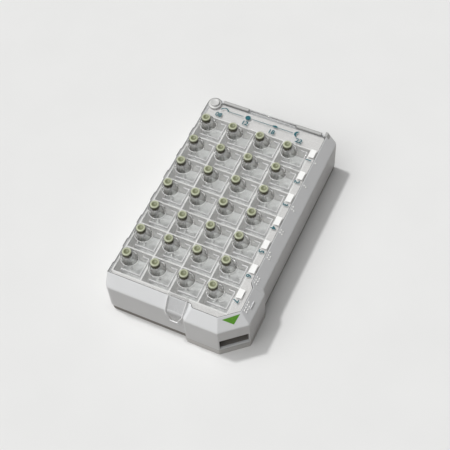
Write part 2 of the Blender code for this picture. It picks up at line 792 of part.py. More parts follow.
def stud_mesh():
    """The round stud with its collar on the lid's ear."""
    place = (LEFT_FACE + EAR_RADIUS, LID_REAR + EAR_REACH - EAR_RADIUS)
    top = BODY_HEIGHT + STUD_HEIGHT
    collar = BODY_HEIGHT + COLLAR_HEIGHT
    sizes = [
        (COLLAR_RADIUS, LID_BOTTOM + LID_THICKNESS / 2),
        (COLLAR_RADIUS, collar),
        (STUD_RADIUS, collar),
        (STUD_RADIUS, top - STUD_EDGE),
        (STUD_RADIUS - STUD_EDGE, top),
    ]
    return loft("lid stud", [ring_at(r, z, sides=STUD_SIDES, place=place) for r, z in sizes])


def thick_path(path, thickness):
    """The same path moved sideways by a thickness, mitred where it bends."""
    moved = []
    for i, point in enumerate(path):
        before = (point - path[i - 1]).normalized() if i else (path[1] - point).normalized()
        after = (path[i + 1] - point).normalized() if i + 1 < len(path) else before
        normal = Vector((-before.y - after.y, before.x + after.x)).normalized()
        stretch = normal.dot(Vector((-before.y, before.x)))
        moved.append(point - normal * (thickness / stretch))
    return moved


def tongue_mesh():
    """The latch tongue: a strip that leaves the lid over the rim, follows the bevel and hangs before the wall."""
    edge = FRONT_FACE + BEVEL_RUN + RIM_LAND + GAP
    rim = FRONT_FACE + BEVEL_RUN
    end = tongue_end_height()
    front = FRONT_FACE - TONGUE_STANDOFF
    underside = [
        Vector((edge + TONGUE_ROOT, BODY_HEIGHT - LID_THICKNESS / 2)),
        Vector((edge, BODY_HEIGHT + TONGUE_STANDOFF)),
        Vector((rim - TONGUE_STANDOFF / 2, BODY_HEIGHT + TONGUE_STANDOFF)),
        Vector((front, BEVEL_FOOT)),
        Vector((front, end)),
        Vector((front - TONGUE_LIP, end - TONGUE_LIP)),
    ]
    upper = thick_path(underside, TONGUE_THICKNESS)
    halves = [TONGUE_ROOT_WIDTH / 2] * 3 + [TONGUE_FOOT_WIDTH / 2] + [TONGUE_END_WIDTH / 2] * 2
    middle = tongue_centre()
    rings = [
        [
            (middle - half, low.x, low.y),
            (middle + half, low.x, low.y),
            (middle + half, high.x, high.y),
            (middle - half, high.x, high.y),
        ]
        for low, high, half in zip(underside, upper, halves)
    ]
    return loft("latch tongue", rings)


def make_lid(material):
    """The lid with its hinge barrel and pins, domes, ribs, stud and latch tongue."""
    lid = add_piece(
        "lid", prism("lid", lid_outline(), LID_BOTTOM, BODY_HEIGHT), material, (0.0, HINGE_Y, HINGE_Z)
    )
    start = LEFT_FACE + LID_KNUCKLE_START
    across, back = dome_place()
    holes, domes = [], []
    for day, slot in every_cell():
        left, front = cell_corner(day, slot)
        place = (left + across, front + back)
        heights = (LID_BOTTOM - RIB_DROP - OVERRUN, BODY_HEIGHT + OVERRUN)
        holes.append(loft("hole", [ring_at(DOME_RADIUS - DOME_WALL / 2, z, place=place) for z in heights]))
        domes.append(dome_shell(*place))
    pins = PIN_LENGTH + PIN_ROOT
    end = start + LID_KNUCKLE_LENGTH
    joins = [
        many("lid ribs", [lid_rib(d, s) for d, s in every_cell()]),
        rod("lid barrel", start, LID_KNUCKLE_LENGTH, HINGE_RADIUS, HINGE_SIDES, HINGE_Y, HINGE_Z),
        rod("left pin", start - PIN_LENGTH, pins, PIN_RADIUS, HINGE_SIDES, HINGE_Y, HINGE_Z),
        rod("right pin", end - PIN_ROOT, pins, PIN_RADIUS, HINGE_SIDES, HINGE_Y, HINGE_Z),
        stud_mesh(),
        tongue_mesh(),
    ]
    for mesh in joins:
        combine(lid, add_helper(mesh.name, mesh), "UNION")
    combine(lid, add_helper("dome holes", many("dome holes", holes)), "DIFFERENCE")
    combine(lid, add_helper("domes", many("domes", domes)), "UNION")
    return lid


def main():
    """Clears the scene and builds the pill box."""
    for item in list(bpy.data.objects):
        bpy.data.objects.remove(item)
    grey = make_material("light grey ABS", (0.66, 0.67, 0.67), 0.42)
    white = make_material("white polypropylene", (0.80, 0.80, 0.79), 0.45)
    frosted = make_material("frosted polypropylene", (0.62, 0.64, 0.64), 0.5)
    clear = make_material("clear polystyrene", (0.86, 0.88, 0.88), 0.12, alpha=0.35, transmission=0.6)
    green = make_material("sage green ABS", (0.30, 0.36, 0.15), 0.4)
    make_housing(grey)
    make_base(grey)
    make_tray(white)
    make_doors(frosted)
    lid = make_lid(clear)
    make_buttons(lid, green)


main()
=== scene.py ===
"""Looks of the weekly pill box: clear lid with domes, green buttons, prints, case finishes and the studio.

Lengths are in metres unless a class says otherwise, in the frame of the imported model: X to the right,
Y to the rear, Z up.
"""

from __future__ import annotations

import logging
import math
import sys
from dataclasses import dataclass, field
from enum import Enum
from typing import Any

import bmesh
import bpy
import numpy as np
from mathutils import Matrix, Vector
from mathutils.geometry import tessellate_polygon


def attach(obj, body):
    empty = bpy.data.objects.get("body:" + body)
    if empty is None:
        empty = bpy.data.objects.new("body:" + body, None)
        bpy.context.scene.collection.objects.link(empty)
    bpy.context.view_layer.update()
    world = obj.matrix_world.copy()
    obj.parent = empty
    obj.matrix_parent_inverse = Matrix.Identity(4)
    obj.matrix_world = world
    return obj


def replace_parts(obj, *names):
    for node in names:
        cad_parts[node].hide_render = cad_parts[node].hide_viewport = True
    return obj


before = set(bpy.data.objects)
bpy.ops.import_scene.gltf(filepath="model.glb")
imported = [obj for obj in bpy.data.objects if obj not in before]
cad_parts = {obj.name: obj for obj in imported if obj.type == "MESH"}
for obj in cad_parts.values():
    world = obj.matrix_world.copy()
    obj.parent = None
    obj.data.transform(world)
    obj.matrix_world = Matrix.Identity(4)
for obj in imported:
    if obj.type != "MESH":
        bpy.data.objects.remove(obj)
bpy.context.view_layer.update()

LOG = logging.getLogger("pill box")
MM = 0.001
WELD = 1e-6
Array = np.ndarray
Material = bpy.types.Material
Pair = tuple[float, float]
Place = tuple[float, float, float]


class Slot(Enum):
    """Material slots of the record that the pieces take their finish from."""

    HOUSING = "housing"
    TRAY = "pill_tray"
    LID = "lid"
    BUTTON = "button"


class Body(Enum):
    """Bodies of the model that single pieces ride on."""

    CASE = "case"
    LID = "lid"


# Colour and node tools


def linear(colour: str) -> tuple[float, float, float, float]:
    """Turns an sRGB hex colour to linear light.

    Args:
        colour: six hex digits, with or without a leading hash sign.

    Returns:
        Red, green and blue in linear light, and an alpha of one.
    """
    digits = colour.lstrip("#")
    values = np.array([int(digits[i : i + 2], 16) for i in (0, 2, 4)]) / 255.0
    high = ((values + 0.055) / 1.055) ** 2.4
    red, green, blue = np.where(values <= 0.04045, values / 12.92, high)
    return float(red), float(green), float(blue), 1.0


def add_node(
    tree: Any, kind: str, inputs: dict[Any, Any] | None = None, take: int | str = 0, **settings: Any
) -> Any:
    """Adds a node with its settings, sets or links its inputs, and gives one of its outputs.

    Args:
        tree: the node tree.
        kind: the node's type name, without its usual start.
        inputs: a value, or an output socket to link, for each input name or number.
        take: the name or number of the output to give.
        settings: the node's own properties.

    Returns:
        The output socket, or the node itself where it has no outputs.
    """
    node = tree.nodes.new("ShaderNode" + kind)
    for name, value in settings.items():
        setattr(node, name, value)
    for name, value in (inputs or {}).items():
        if isinstance(value, bpy.types.NodeSocket):
            tree.links.new(value, node.inputs[name])
        else:
            node.inputs[name].default_value = value
    return node.outputs[take] if node.outputs else node


def worked_out(tree: Any, operation: str, *values: Any, kind: str = "Math") -> Any:
    """Gives the socket of one sum on numbers or, with the vector node as kind, on vectors."""
    return add_node(tree, kind, dict(enumerate(values)), operation=operation)


def mixed(tree: Any, factor: Any, first: Any, second: Any) -> Any:
    """Gives the socket of two colours mixed, with the factor as the share of the second."""
    return add_node(tree, "Mix", {0: factor, 6: first, 7: second}, 2, data_type="RGBA")


def stretched(tree: Any, value: Any, low: float, high: float, ends: Pair = (0.3, 0.7)) -> Any:
    """Stretches a value to a range, and cuts it off at both ends.

    Args:
        tree: the node tree.
        value: its socket.
        low: result at the first end.
        high: result at the second end.
        ends: the values taken as the two ends. Smooth noise seldom leaves the usual ones.

    Returns:
        The output socket with the stretched value.
    """
    inputs = {"Value": value, "From Min": ends[0], "From Max": ends[1], "To Min": low, "To Max": high}
    return add_node(tree, "MapRange", inputs, "Result")


def noise(tree: Any, place: Any, size: float, detail: float = 2.0) -> Any:
    """Gives the socket of smooth noise whose features are about this size."""
    return add_node(tree, "TexNoise", {"Vector": place, "Scale": 1 / size, "Detail": detail}, "Fac")


def grazing(tree: Any, power: float) -> Any:
    """Gives a socket that rises from zero, facing the viewer, to one at grazing angles, to a power."""
    facing = add_node(tree, "LayerWeight", {"Blend": 0.5}, "Facing")
    return worked_out(tree, "POWER", facing, power)


def seen(tree: Any) -> Any:
    """Tells what the camera sees, itself, in gloss or through plastic, from what only passes light on.

    Args:
        tree: the node tree.

    Returns:
        The socket, which is one for what is seen.
    """
    path = add_node(tree, "LightPath").node.outputs
    first = worked_out(tree, "MAXIMUM", path["Is Camera Ray"], path["Is Glossy Ray"])
    return worked_out(tree, "MAXIMUM", first, path["Is Transmission Ray"])


# Finishes


@dataclass(frozen=True)
class Zone:
    """A box in the object's own frame where a moulding is given another tone: painted shade, or a lighter
    tone where painted shade is left out.

    The tones are fitted to the photograph: they are no measured colour of the plastic. A point belongs
    to the zone where the largest of |p - middle| - half is below zero.
    """

    colour: str
    low: Place
    high: Place
    soft: float = 0.15 * MM

    def share(self, tree: Any, place: Any) -> Any:
        """Works out how far a point belongs to the zone.

        Args:
            tree: the node tree.
            place: the socket with the object coordinates.

        Returns:
            The socket with the share, from zero to one.
        """
        low, high = np.array(self.low), np.array(self.high)
        vector = "VectorMath"
        off = worked_out(tree, "SUBTRACT", place, tuple((low + high) / 2), kind=vector)
        off = worked_out(tree, "ABSOLUTE", off, kind=vector)
        off = worked_out(tree, "SUBTRACT", off, tuple((high - low) / 2), kind=vector)
        x, y, z = add_node(tree, "SeparateXYZ", {0: off}).node.outputs
        most = worked_out(tree, "MAXIMUM", worked_out(tree, "MAXIMUM", x, y), z)
        return stretched(tree, most, 0.0, 1.0, (self.soft, -self.soft))


@dataclass(frozen=True)
class Finish:
    """A procedural material. Each kind works out its own surface in shader()."""

    name: str

    def build(self) -> Material:
        """Makes the material.

        Returns:
            The finished material.
        """
        material = bpy.data.materials.new(self.name)
        material.use_nodes = True
        tree = material.node_tree
        tree.nodes.clear()
        place = add_node(tree, "TexCoord", take="Object")
        add_node(tree, "OutputMaterial", {"Surface": self.shader(tree, place)})
        return material

    def shader(self, tree: Any, place: Any) -> Any:
        """Works out the surface.

        Args:
            tree: the node tree.
            place: the socket with the object coordinates.

        Returns:
            The shader's socket.
        """
        raise NotImplementedError


@dataclass(frozen=True)
class MouldedPlastic(Finish):
    """Injection moulded ABS or polypropylene with a fine even grain.

    The grain breaks up reflections into a broad soft sheen, the colour drifts a little where the melt
    flowed, and the softened edges catch a thin line of light.
    """

    colour: str
    shade: str
    roughness: float = 0.42
    roughness_drift: float = 0.06
    ior: float = 1.53
    edge: float = 0.5 * MM
    grain: float = 0.35 * MM
    grain_depth: float = 0.012 * MM
    bump: float = 0.35
    edge_samples: int = 6
    flow: float = 22 * MM
    zones: tuple[Zone, ...] = ()

    def shader(self, tree: Any, place: Any) -> Any:
        """Works out the surface.

        Args:
            tree: the node tree.
            place: the socket with the object coordinates.

        Returns:
            The shader's socket.
        """
        flow = noise(tree, place, self.flow, 3.0)
        # Such a grain is finer as a rule, and is drawn coarser because it wouldn't show
        grain = noise(tree, place, self.grain)
        edges = add_node(tree, "Bevel", {"Radius": self.edge}, samples=self.edge_samples)
        bump = {"Strength": self.bump, "Distance": self.grain_depth, "Height": grain, "Normal": edges}
        colour = mixed(tree, stretched(tree, flow, 0.0, 1.0), linear(self.colour), linear(self.shade))
        for zone in self.zones:
            colour = mixed(tree, zone.share(tree, place), colour, linear(zone.colour))
        low, high = self.roughness - self.roughness_drift, self.roughness + self.roughness_drift
        inputs = {
            "Base Color": colour,
            "Roughness": stretched(tree, grain, low, high),
            "IOR": self.ior,
            "Normal": add_node(tree, "Bump", bump),
        }
        return add_node(tree, "BsdfPrincipled", inputs)


@dataclass(frozen=True)
class ClearPlastic(Finish):
    """What both clear finishes share: a polished face with the slow ripple of the mould."""

    bump: float = 0.4

    def rippled(self, tree: Any, place: Any, size: float, depth: float) -> tuple[Any, Any]:
        """Works out the ripple.

        Args:
            tree: the node tree.
            place: the socket with the object coordinates.
            size: width of a ripple.
            depth: its depth.

        Returns:
            The sockets of the noise and of the rippled normal.
        """
        flow = noise(tree, place, size)
        return flow, add_node(tree, "Bump", {"Strength": self.bump, "Distance": depth, "Height": flow})


@dataclass(frozen=True)
class ClearSheet(ClearPlastic):
    """Clear polystyrene sheet, polished in the mould.

    It shows what lies under it almost unchanged, with a faint milky veil. Its gloss grows towards
    grazing angles, from one share to another by a fifth power.
    """

    tint: str = "#F8F8F8"
    veil: str = "#F2F2F1"
    veil_share: float = 0.05
    veil_drift: float = 0.3
    roughness: float = 0.06
    facing_gloss: float = 0.04
    grazing_gloss: float = 0.9
    gloss_power: float = 5.0
    ripple: float = 9 * MM
    ripple_depth: float = 0.03 * MM

    def shader(self, tree: Any, place: Any) -> Any:
        """Works out the surface.

        Args:
            tree: the node tree.
            place: the socket with the object coordinates.

        Returns:
            The shader's socket.
        """
        flow, bump = self.rippled(tree, place, self.ripple, self.ripple_depth)
        steep = grazing(tree, self.gloss_power)
        share = stretched(tree, steep, self.facing_gloss, self.grazing_gloss, (0.0, 1.0))
        clear = add_node(tree, "BsdfTransparent", {"Color": linear(self.tint)})
        milky = add_node(tree, "BsdfDiffuse", {"Color": linear(self.veil)})
        gloss = add_node(tree, "BsdfGlossy", {"Roughness": self.roughness, "Normal": bump})
        # The veil is a little thicker where the melt flowed slower
        thin, thick = self.veil_share * (1 - self.veil_drift), self.veil_share * (1 + self.veil_drift)
        veil_share = stretched(tree, flow, thin, thick)
        body = add_node(tree, "MixShader", {0: veil_share, 1: clear, 2: milky})
        return add_node(tree, "MixShader", {0: share, 1: body, 2: gloss})


@dataclass(frozen=True)
class ClearSolid(ClearPlastic):
    """Clear polystyrene in the curved wall of a dome, darker towards the dome's outline: partly absorption,
    partly painted shade for the dark crescents that refraction shows.

    The refractive index is fitted to the photograph. That of clear polystyrene is about 1.59, and with
    1.49 the domes looked mottled here.
    """

    tint: str = "#DFDFDD"
    long_path_painted_shade: str = "#4A4A47"
    shadow_tint: str = "#D6D6D4"
    path_power: float = 1.4
    roughness: float = 0.03
    ior: float = 1.12
    ripple: float = 5 * MM
    ripple_depth: float = 0.02 * MM

    def shader(self, tree: Any, place: Any) -> Any:
        """Works out the surface.

        Args:
            tree: the node tree.
            place: the socket with the object coordinates.

        Returns:
            The shader's socket.
        """
        flow, bump = self.rippled(tree, place, self.ripple, self.ripple_depth)
        # Towards the dome's outline the light has a longer way through the wall, so less of it is left; the
        # dark colour there is also painted shade for the dark crescents that refraction shows.
        tint = mixed(tree, stretched(tree, flow, 0.0, 0.4), linear(self.tint), linear(self.shadow_tint))
        inputs = {
            "Base Color": mixed(tree, grazing(tree, self.path_power), tint, linear(self.long_path_painted_shade)),
            "Roughness": self.roughness,
            "IOR": self.ior,
            "Transmission Weight": 1.0,
            "Normal": bump,
        }
        glass = add_node(tree, "BsdfPrincipled", inputs)
        through = add_node(tree, "BsdfTransparent", {"Color": linear(self.shadow_tint)})
        shadow = add_node(tree, "LightPath", take="Is Shadow Ray")
        return add_node(tree, "MixShader", {0: shadow, 1: glass, 2: through})


@dataclass(frozen=True)
class PrintInk(Finish):
    """Pad printed ink: an even thin coat, a little glossier than its ground."""

    colour: str
    thin: str
    roughness: float = 0.35
    ior: float = 1.5
    mottle: float = 0.9 * MM

    def shader(self, tree: Any, place: Any) -> Any:
        """Works out the surface.

        Args:
            tree: the node tree.
            place: the socket with the object coordinates.

        Returns:
            The shader's socket.
        """
        share = stretched(tree, noise(tree, place, self.mottle, 3.0), 0.0, 1.0)
        colour = mixed(tree, share, linear(self.colour), linear(self.thin))
        inputs = {"Base Color": colour, "Roughness": self.roughness, "IOR": self.ior}
        return add_node(tree, "BsdfPrincipled", inputs)


@dataclass(frozen=True)
class Ground(Finish):
    """Pale studio paper: matt, and about as bright to the camera as the photograph's floor.

    It sends less light back up at the box than it shows, so that the shaded walls keep their depth.
    """

    name: str = "pale studio paper"
    shown: str = "#E2E2E1"
    shown_drift: str = "#E0E0DF"
    lit: str = "#A9A5A0"
    fibre: float = 60 * MM

    def shader(self, tree: Any, place: Any) -> Any:
        """Works out the surface.

        Args:
            tree: the node tree.
            place: the socket with the object coordinates.

        Returns:
            The shader's socket.
        """
        drift = stretched(tree, noise(tree, place, self.fibre), 0.0, 1.0)
        shown = mixed(tree, drift, linear(self.shown), linear(self.shown_drift))
        colour = mixed(tree, seen(tree), linear(self.lit), shown)
        return add_node(tree, "BsdfDiffuse", {"Color": colour})


# Surfaces as arrays


@dataclass
class Surface:
    """Points and faces of a piece while it is worked out.

    Attributes:
        points: one row of X, Y, Z for each point.
        faces: arrays of point numbers, one array for each face size.
        slots: the number of the material of each face, in step with faces.
    """

    points: Array = field(default_factory=lambda: np.zeros((0, 3)))
    faces: list[Array] = field(default_factory=list)
    slots: list[Array] = field(default_factory=list)

    def add(self, points: Array, faces: Array, slot: int | Array = 0) -> None:
        """Adds points and faces that count from zero among those points.

        Args:
            points: the new points.
            faces: their faces.
            slot: the material number of all the faces, or one for each.
        """
        self.faces.append(np.asarray(faces, int) + len(self.points))
        self.slots.append(np.broadcast_to(np.asarray(slot, int), (len(faces),)))
        self.points = np.vstack([self.points, points])

    def join(self, other: Surface) -> None:
        """Adds all of another surface.

        Args:
            other: the surface to add.
        """
        start = len(self.points)
        self.points = np.vstack([self.points, other.points])
        self.faces += [faces + start for faces in other.faces]
        self.slots += other.slots

    def moved(self, *shifts: Place) -> Surface:
        """Copies the surface.

        Args:
            shifts: how far each copy is moved.

        Returns:
            All copies in one surface.
        """
        copies = Surface()
        for shift in shifts:
            copies.join(Surface(self.points + np.asarray(shift), list(self.faces), list(self.slots)))
        return copies


def turned(angle: Array) -> Array:
    """The cosine and sine of each angle, side by side."""
    return np.stack([np.cos(angle), np.sin(angle)], axis=-1)


def level(flat: Array, height: float) -> Array:
    """Points in plan, all put at one height."""
    return np.column_stack([flat, np.full(len(flat), height)])


def band_faces(rows: int, columns: int, closed: bool = False) -> Array:
    """Faces between neighbouring rings of points. Each face joins (r, c), (r, c+1), (r+1, c+1), (r+1, c).

    Args:
        rows: number of rings.
        columns: points in each ring, which is closed.
        closed: whether the last ring joins the first.

    Returns:
        One row of four point numbers for each face.
    """
    row, column = np.meshgrid(np.arange(rows if closed else rows - 1), np.arange(columns), indexing="ij")
    ahead = (column + 1) % columns
    above = (row + 1) % rows
    quads = [row * columns + column, row * columns + ahead, above * columns + ahead, above * columns + column]
    return np.stack(quads, axis=-1).reshape(-1, 4)


def loft(rings: Array, ends: bool = True, slots: Array | int = 0) -> Surface:
    """A skin over rings of points. Its ends close at the middle of the first and last ring.

    Args:
        rings: array of rings, points and coordinates.
        ends: whether the ends are closed.
        slots: the material number of all bands, or one for each band.

    Returns:
        The surface.
    """
    if ends:
        first, last = rings[:1].mean(axis=1, keepdims=True), rings[-1:].mean(axis=1, keepdims=True)
        wide = (1, rings.shape[1], 1)
        rings = np.concatenate([np.tile(first, wide), rings, np.tile(last, wide)])
    surface = Surface()
    bands = np.broadcast_to(np.asarray(slots), (len(rings) - 1,))
    surface.add(rings.reshape(-1, 3), band_faces(*rings.shape[:2]), np.repeat(bands, rings.shape[1]))
    return surface


def revolve(profile: Array, centre: Place, axis: int = 2, sides: int = 40) -> Surface:
    """Turns a profile about a line: the point at angle a is radius times cosine and sine of a.

    Args:
        profile: rows of radius and distance along the line, which start and end at radius zero.
        centre: a point on the line.
        axis: 0 for a line along X, 2 for a line along Z.
        sides: points around.

    Returns:
        The closed surface.
    """
    angle = np.linspace(0, 2 * np.pi, sides, endpoint=False)
    radius, along = profile[:, :1], np.repeat(profile[:, 1:], sides, axis=1)
    across, up = radius * np.cos(angle), radius * np.sin(angle)
    parts = (along, across, up) if axis == 0 else (across, up, along)
    return loft(np.stack(parts, axis=-1) + np.asarray(centre), ends=False)


def sweep(path: Array, side: Array, lift: Array, section: Array) -> Surface:
    """Carries a section along a path: a point is path + side * first + lift * second coordinate.

    Args:
        path: the stations.
        side: the direction of the section's first coordinate at each station.
        lift: the direction of its second coordinate.
        section: the section at each station, or one for all.

    Returns:
        The closed surface.
    """
    section = np.broadcast_to(section, (len(path), *section.shape[-2:]))
    return loft(path[:, None] + side[:, None] * section[..., :1] + lift[:, None] * section[..., 1:])


def rounded_box(width: float, height: float, radius: float, steps: int) -> Array:
    """A rectangle with round corners about zero: each corner is its own centre plus a quarter circle.

    Args:
        width: size along the first coordinate.
        height: size along the second coordinate.
        radius: corner radius.
        steps: steps in each corner.

    Returns:
        The points, anticlockwise.
    """
    quarter = np.linspace(0, np.pi / 2, steps + 1)
    angle = (quarter + np.arange(4)[:, None] * np.pi / 2).ravel()
    turn = np.repeat([[1, 1], [-1, 1], [-1, -1], [1, -1]], steps + 1, axis=0)
    return turn * [width / 2 - radius, height / 2 - radius] + radius * turned(angle)


def smooth(value: Array, low: float, high: float) -> Array:
    """The smooth step 3t^2 - 2t^3, from zero at the low end to one at the high end."""
    t = np.clip((value - low) / (high - low), 0, 1)
    return t * t * (3 - 2 * t)


def unit(rows: Array) -> Array:
    """Each row divided by its own length."""
    return rows / np.linalg.norm(rows, axis=1, keepdims=True)


def leftwards(rows: Array) -> Array:
    """Each direction in plan turned a quarter to the left: (x, y) gives (-y, x)."""
    return np.stack([-rows[:, 1], rows[:, 0]], axis=-1)


def offset(outline: Array, inset: float) -> Array:
    """Moves a closed outline inwards, mitred at its corners.

    With n and m the normals before and after a corner, it moves by inset (n + m) / (1 + n.m).

    Args:
        outline: its points, anticlockwise.
        inset: how far it moves.

    Returns:
        The moved points.
    """
    first = leftwards(unit(outline - np.roll(outline, 1, axis=0)))
    second = leftwards(unit(np.roll(outline, -1, axis=0) - outline))
    share = 1 + (first * second).sum(axis=1, keepdims=True)
    return outline + inset * (first + second) / np.maximum(share, 0.5)


def plate_between(left: Array, right: Array, low: float, high: float) -> Surface:
    """A thin level plate between two lines of points in plan.

    Args:
        left: one line.
        right: the other line, with as many points.
        low: height of the underside.
        high: height of the top.

    Returns:
        The closed surface.
    """
    corners = ((left, low), (right, low), (right, high), (left, high))
    return loft(np.stack([level(line, z) for line, z in corners], axis=1))


def lattice(x: Array, y: Array, solid: Array, low: float, high: float) -> Surface:
    """A level plate on lines in X and Y, with openings: a field is solid or open.

    Args:
        x: the lines in X.
        y: the lines in Y.
        solid: for each field between lines, whether it is solid.
        low: height of the underside.
        high: height of the top.

    Returns:
        The closed surface.
    """
    flat = np.stack(np.meshgrid(x, y, indexing="ij"), axis=-1).reshape(-1, 2)
    number = np.arange(len(flat)).reshape(len(x), len(y))
    corners = [number[:-1, :-1], number[1:, :-1], number[1:, 1:], number[:-1, 1:]]
    top = np.stack([corner[solid] for corner in corners], axis=-1)
    padded = np.pad(solid, 1)
    across = padded[1:, 1:-1] != padded[:-1, 1:-1]
    along = padded[1:-1, 1:] != padded[1:-1, :-1]
    edges = [(number[:, :-1][across], number[:, 1:][across]), (number[:-1][along], number[1:][along])]
    sides = [np.stack([a, b, b + len(flat), a + len(flat)], axis=-1) for a, b in edges]
    surface = Surface()
    points = np.vstack([level(flat, high), level(flat, low)])
    surface.add(points, np.vstack([top, top[:, ::-1] + len(flat), *sides]))
    return surface


def to_object(
    name: str,
    surface: Surface,
    materials: list[Material],
    body: Body | str,
    sharp: float = 50.0,
) -> bpy.types.Object:
    """Makes a surface an object that rides on a body, with its seams and poles closed and its faces outwards.

    Args:
        name: the object's name.
        surface: its points and faces.
        materials: its materials, in the order of the faces' numbers.
        body: the body that it rides on, or that body's name.
        sharp: edges that bend more than this many degrees stay sharp.

    Returns:
        The object.
    """
    mesh = bpy.data.meshes.new(name)
    mesh.from_pydata(surface.points.tolist(), [], [f for faces in surface.faces for f in faces.tolist()])
    for material in materials:
        mesh.materials.append(material)
    mesh.polygons.foreach_set("material_index", np.concatenate(surface.slots).astype(np.int32))
    shape = bmesh.new()
    shape.from_mesh(mesh)
    bmesh.ops.remove_doubles(shape, verts=shape.verts, dist=WELD)
    bmesh.ops.recalc_face_normals(shape, faces=shape.faces)
    shape.to_mesh(mesh)
    shape.free()
    mesh.shade_smooth()
    mesh.set_sharp_from_angle(angle=math.radians(sharp))
    piece = bpy.data.objects.new(name, mesh)
    bpy.context.scene.collection.objects.link(piece)
    carrier = body.value if isinstance(body, Body) else body
    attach(piece, carrier)
    LOG.info("%s: %d faces on %s", name, len(mesh.polygons), carrier)
    return piece


def numeral(text: str, height: float, middle: Array, along: Array, up: Array, rise: float) -> Surface:
    """Plain numerals as a thin raised plate.

    Args:
        text: the digits.
        height: height of the digits.
        middle: the point under their middle.
        along: the direction in which they read.
        up: the direction of their tops.
        rise: how far they stand above that point.

    Returns:
        The closed surface.
    """
    curve = bpy.data.curves.new(f"digits {text}", "FONT")
    curve.body = text
    curve.align_x = "CENTER"
    curve.resolution_u = 4
    curve.extrude = 0.5
    curve.offset = 0.025
    holder = bpy.data.objects.new(curve.name, curve)
    bpy.context.scene.collection.objects.link(holder)
    flat = holder.to_mesh()
    points = np.array([v.co for v in flat.vertices], float)
    faces = [list(f.vertices) for f in flat.polygons]
    holder.to_mesh_clear()
    bpy.data.objects.remove(holder)
    points[:, :2] -= (points[:, :2].max(axis=0) + points[:, :2].min(axis=0)) / 2
    points[:, :2] *= height / np.ptp(points[:, 1])
    thickness = (points[:, 2:] + 0.5) * rise
    placed = middle + points[:, :1] * along + points[:, 1:2] * up + thickness * np.cross(along, up)
    surface = Surface()
    for size in sorted({len(f) for f in faces}):
        chosen = np.array([f for f in faces if len(f) == size])
        surface.add(placed if not len(surface.points) else np.zeros((0, 3)), chosen - len(surface.points))
    return surface


# Shared sizes


@dataclass(frozen=True)
class Layout:
    """Places that several pieces share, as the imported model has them."""

    days: int = 7
    slots: int = 4
    letters: str = "abcd"
    pitch_x: float = 25.0 * MM
    pitch_y: float = 24.34 * MM
    grid_left: float = -58.1 * MM
    grid_front: float = -88.04 * MM
    left: float = -60.2 * MM
    right: float = 57.3 * MM
    front: float = -100.44 * MM
    rear: float = 103.34 * MM
    bulge: float = 2.9 * MM
    spout_left: float = 12.1 * MM
    spout_rear: float = -57.04 * MM
    spout_step: float = 4.0 * MM
    chamfer_across: float = 19.8 * MM
    chamfer_back: float = 16.9 * MM
    top: float = 44.5 * MM
    bevel_foot: float = 34.9 * MM
    bevel_run: float = 8.4 * MM
    bevel_drop: float = 9.6 * MM
    hinge_y: float = 100.34 * MM
    hinge_z: float = 42.7 * MM
    dome_across: float = 8.9 * MM
    dome_back: float = 13.84 * MM
    neck_offset: float = 1.5 * MM

    def cell(self, day: int, slot: int) -> Pair:
        """The front left corner of a compartment on the grid lines, day 0 at the rear."""
        return self.grid_left + slot * self.pitch_x, self.grid_front + (self.days - 1 - day) * self.pitch_y

    def cells(self) -> list[tuple[str, float, float]]:
        """The name ending, such as day1_a, and the front left corner of each compartment."""
        pairs = [(day, slot) for day in range(self.days) for slot in range(self.slots)]
        return [(f"day{day + 1}_{self.letters[slot]}", *self.cell(day, slot)) for day, slot in pairs]

    def shifts(self) -> list[Place]:
        """The shift that takes a shape made at the origin to each compartment."""
        return [(left, front, 0.0) for _, left, front in self.cells()]

    def corners(self) -> Array:
        """Where the housing wall turns at the foot of its bevel.

        Returns:
            Its corners, anticlockwise from the front left.
        """
        right, front = self.right + self.bulge, self.front - self.bulge
        return np.array(
            [
                (self.left, self.front),
                (self.spout_left - self.bulge, self.front),
                (self.spout_left, front),
                (right - self.chamfer_across, front),
                (right, front + self.chamfer_back),
                (right, self.spout_rear),
                (self.right, self.spout_rear + self.spout_step),
                (self.right, self.rear),
                (self.left, self.rear),
            ]
        )

    def inset(self, insets: list[float]) -> Array:
        """Moves each edge of the outline inwards by its own inset and meets the moved edges again.

        Args:
            insets: one for each edge.

        Returns:
            The new corners: where the lines p + s u of neighbouring edges cross.
        """
        corners = self.corners()
        along = unit(np.roll(corners, -1, axis=0) - corners)
        start = corners + np.array(insets)[:, None] * leftwards(along)
        before, way = np.roll(start, 1, axis=0), np.roll(along, 1, axis=0)
        gap = start - before
        cross = way[:, 0] * along[:, 1] - way[:, 1] * along[:, 0]
        share = (gap[:, 0] * along[:, 1] - gap[:, 1] * along[:, 0]) / cross
        return before + way * share[:, None]


PLAN = Layout()


# The lid


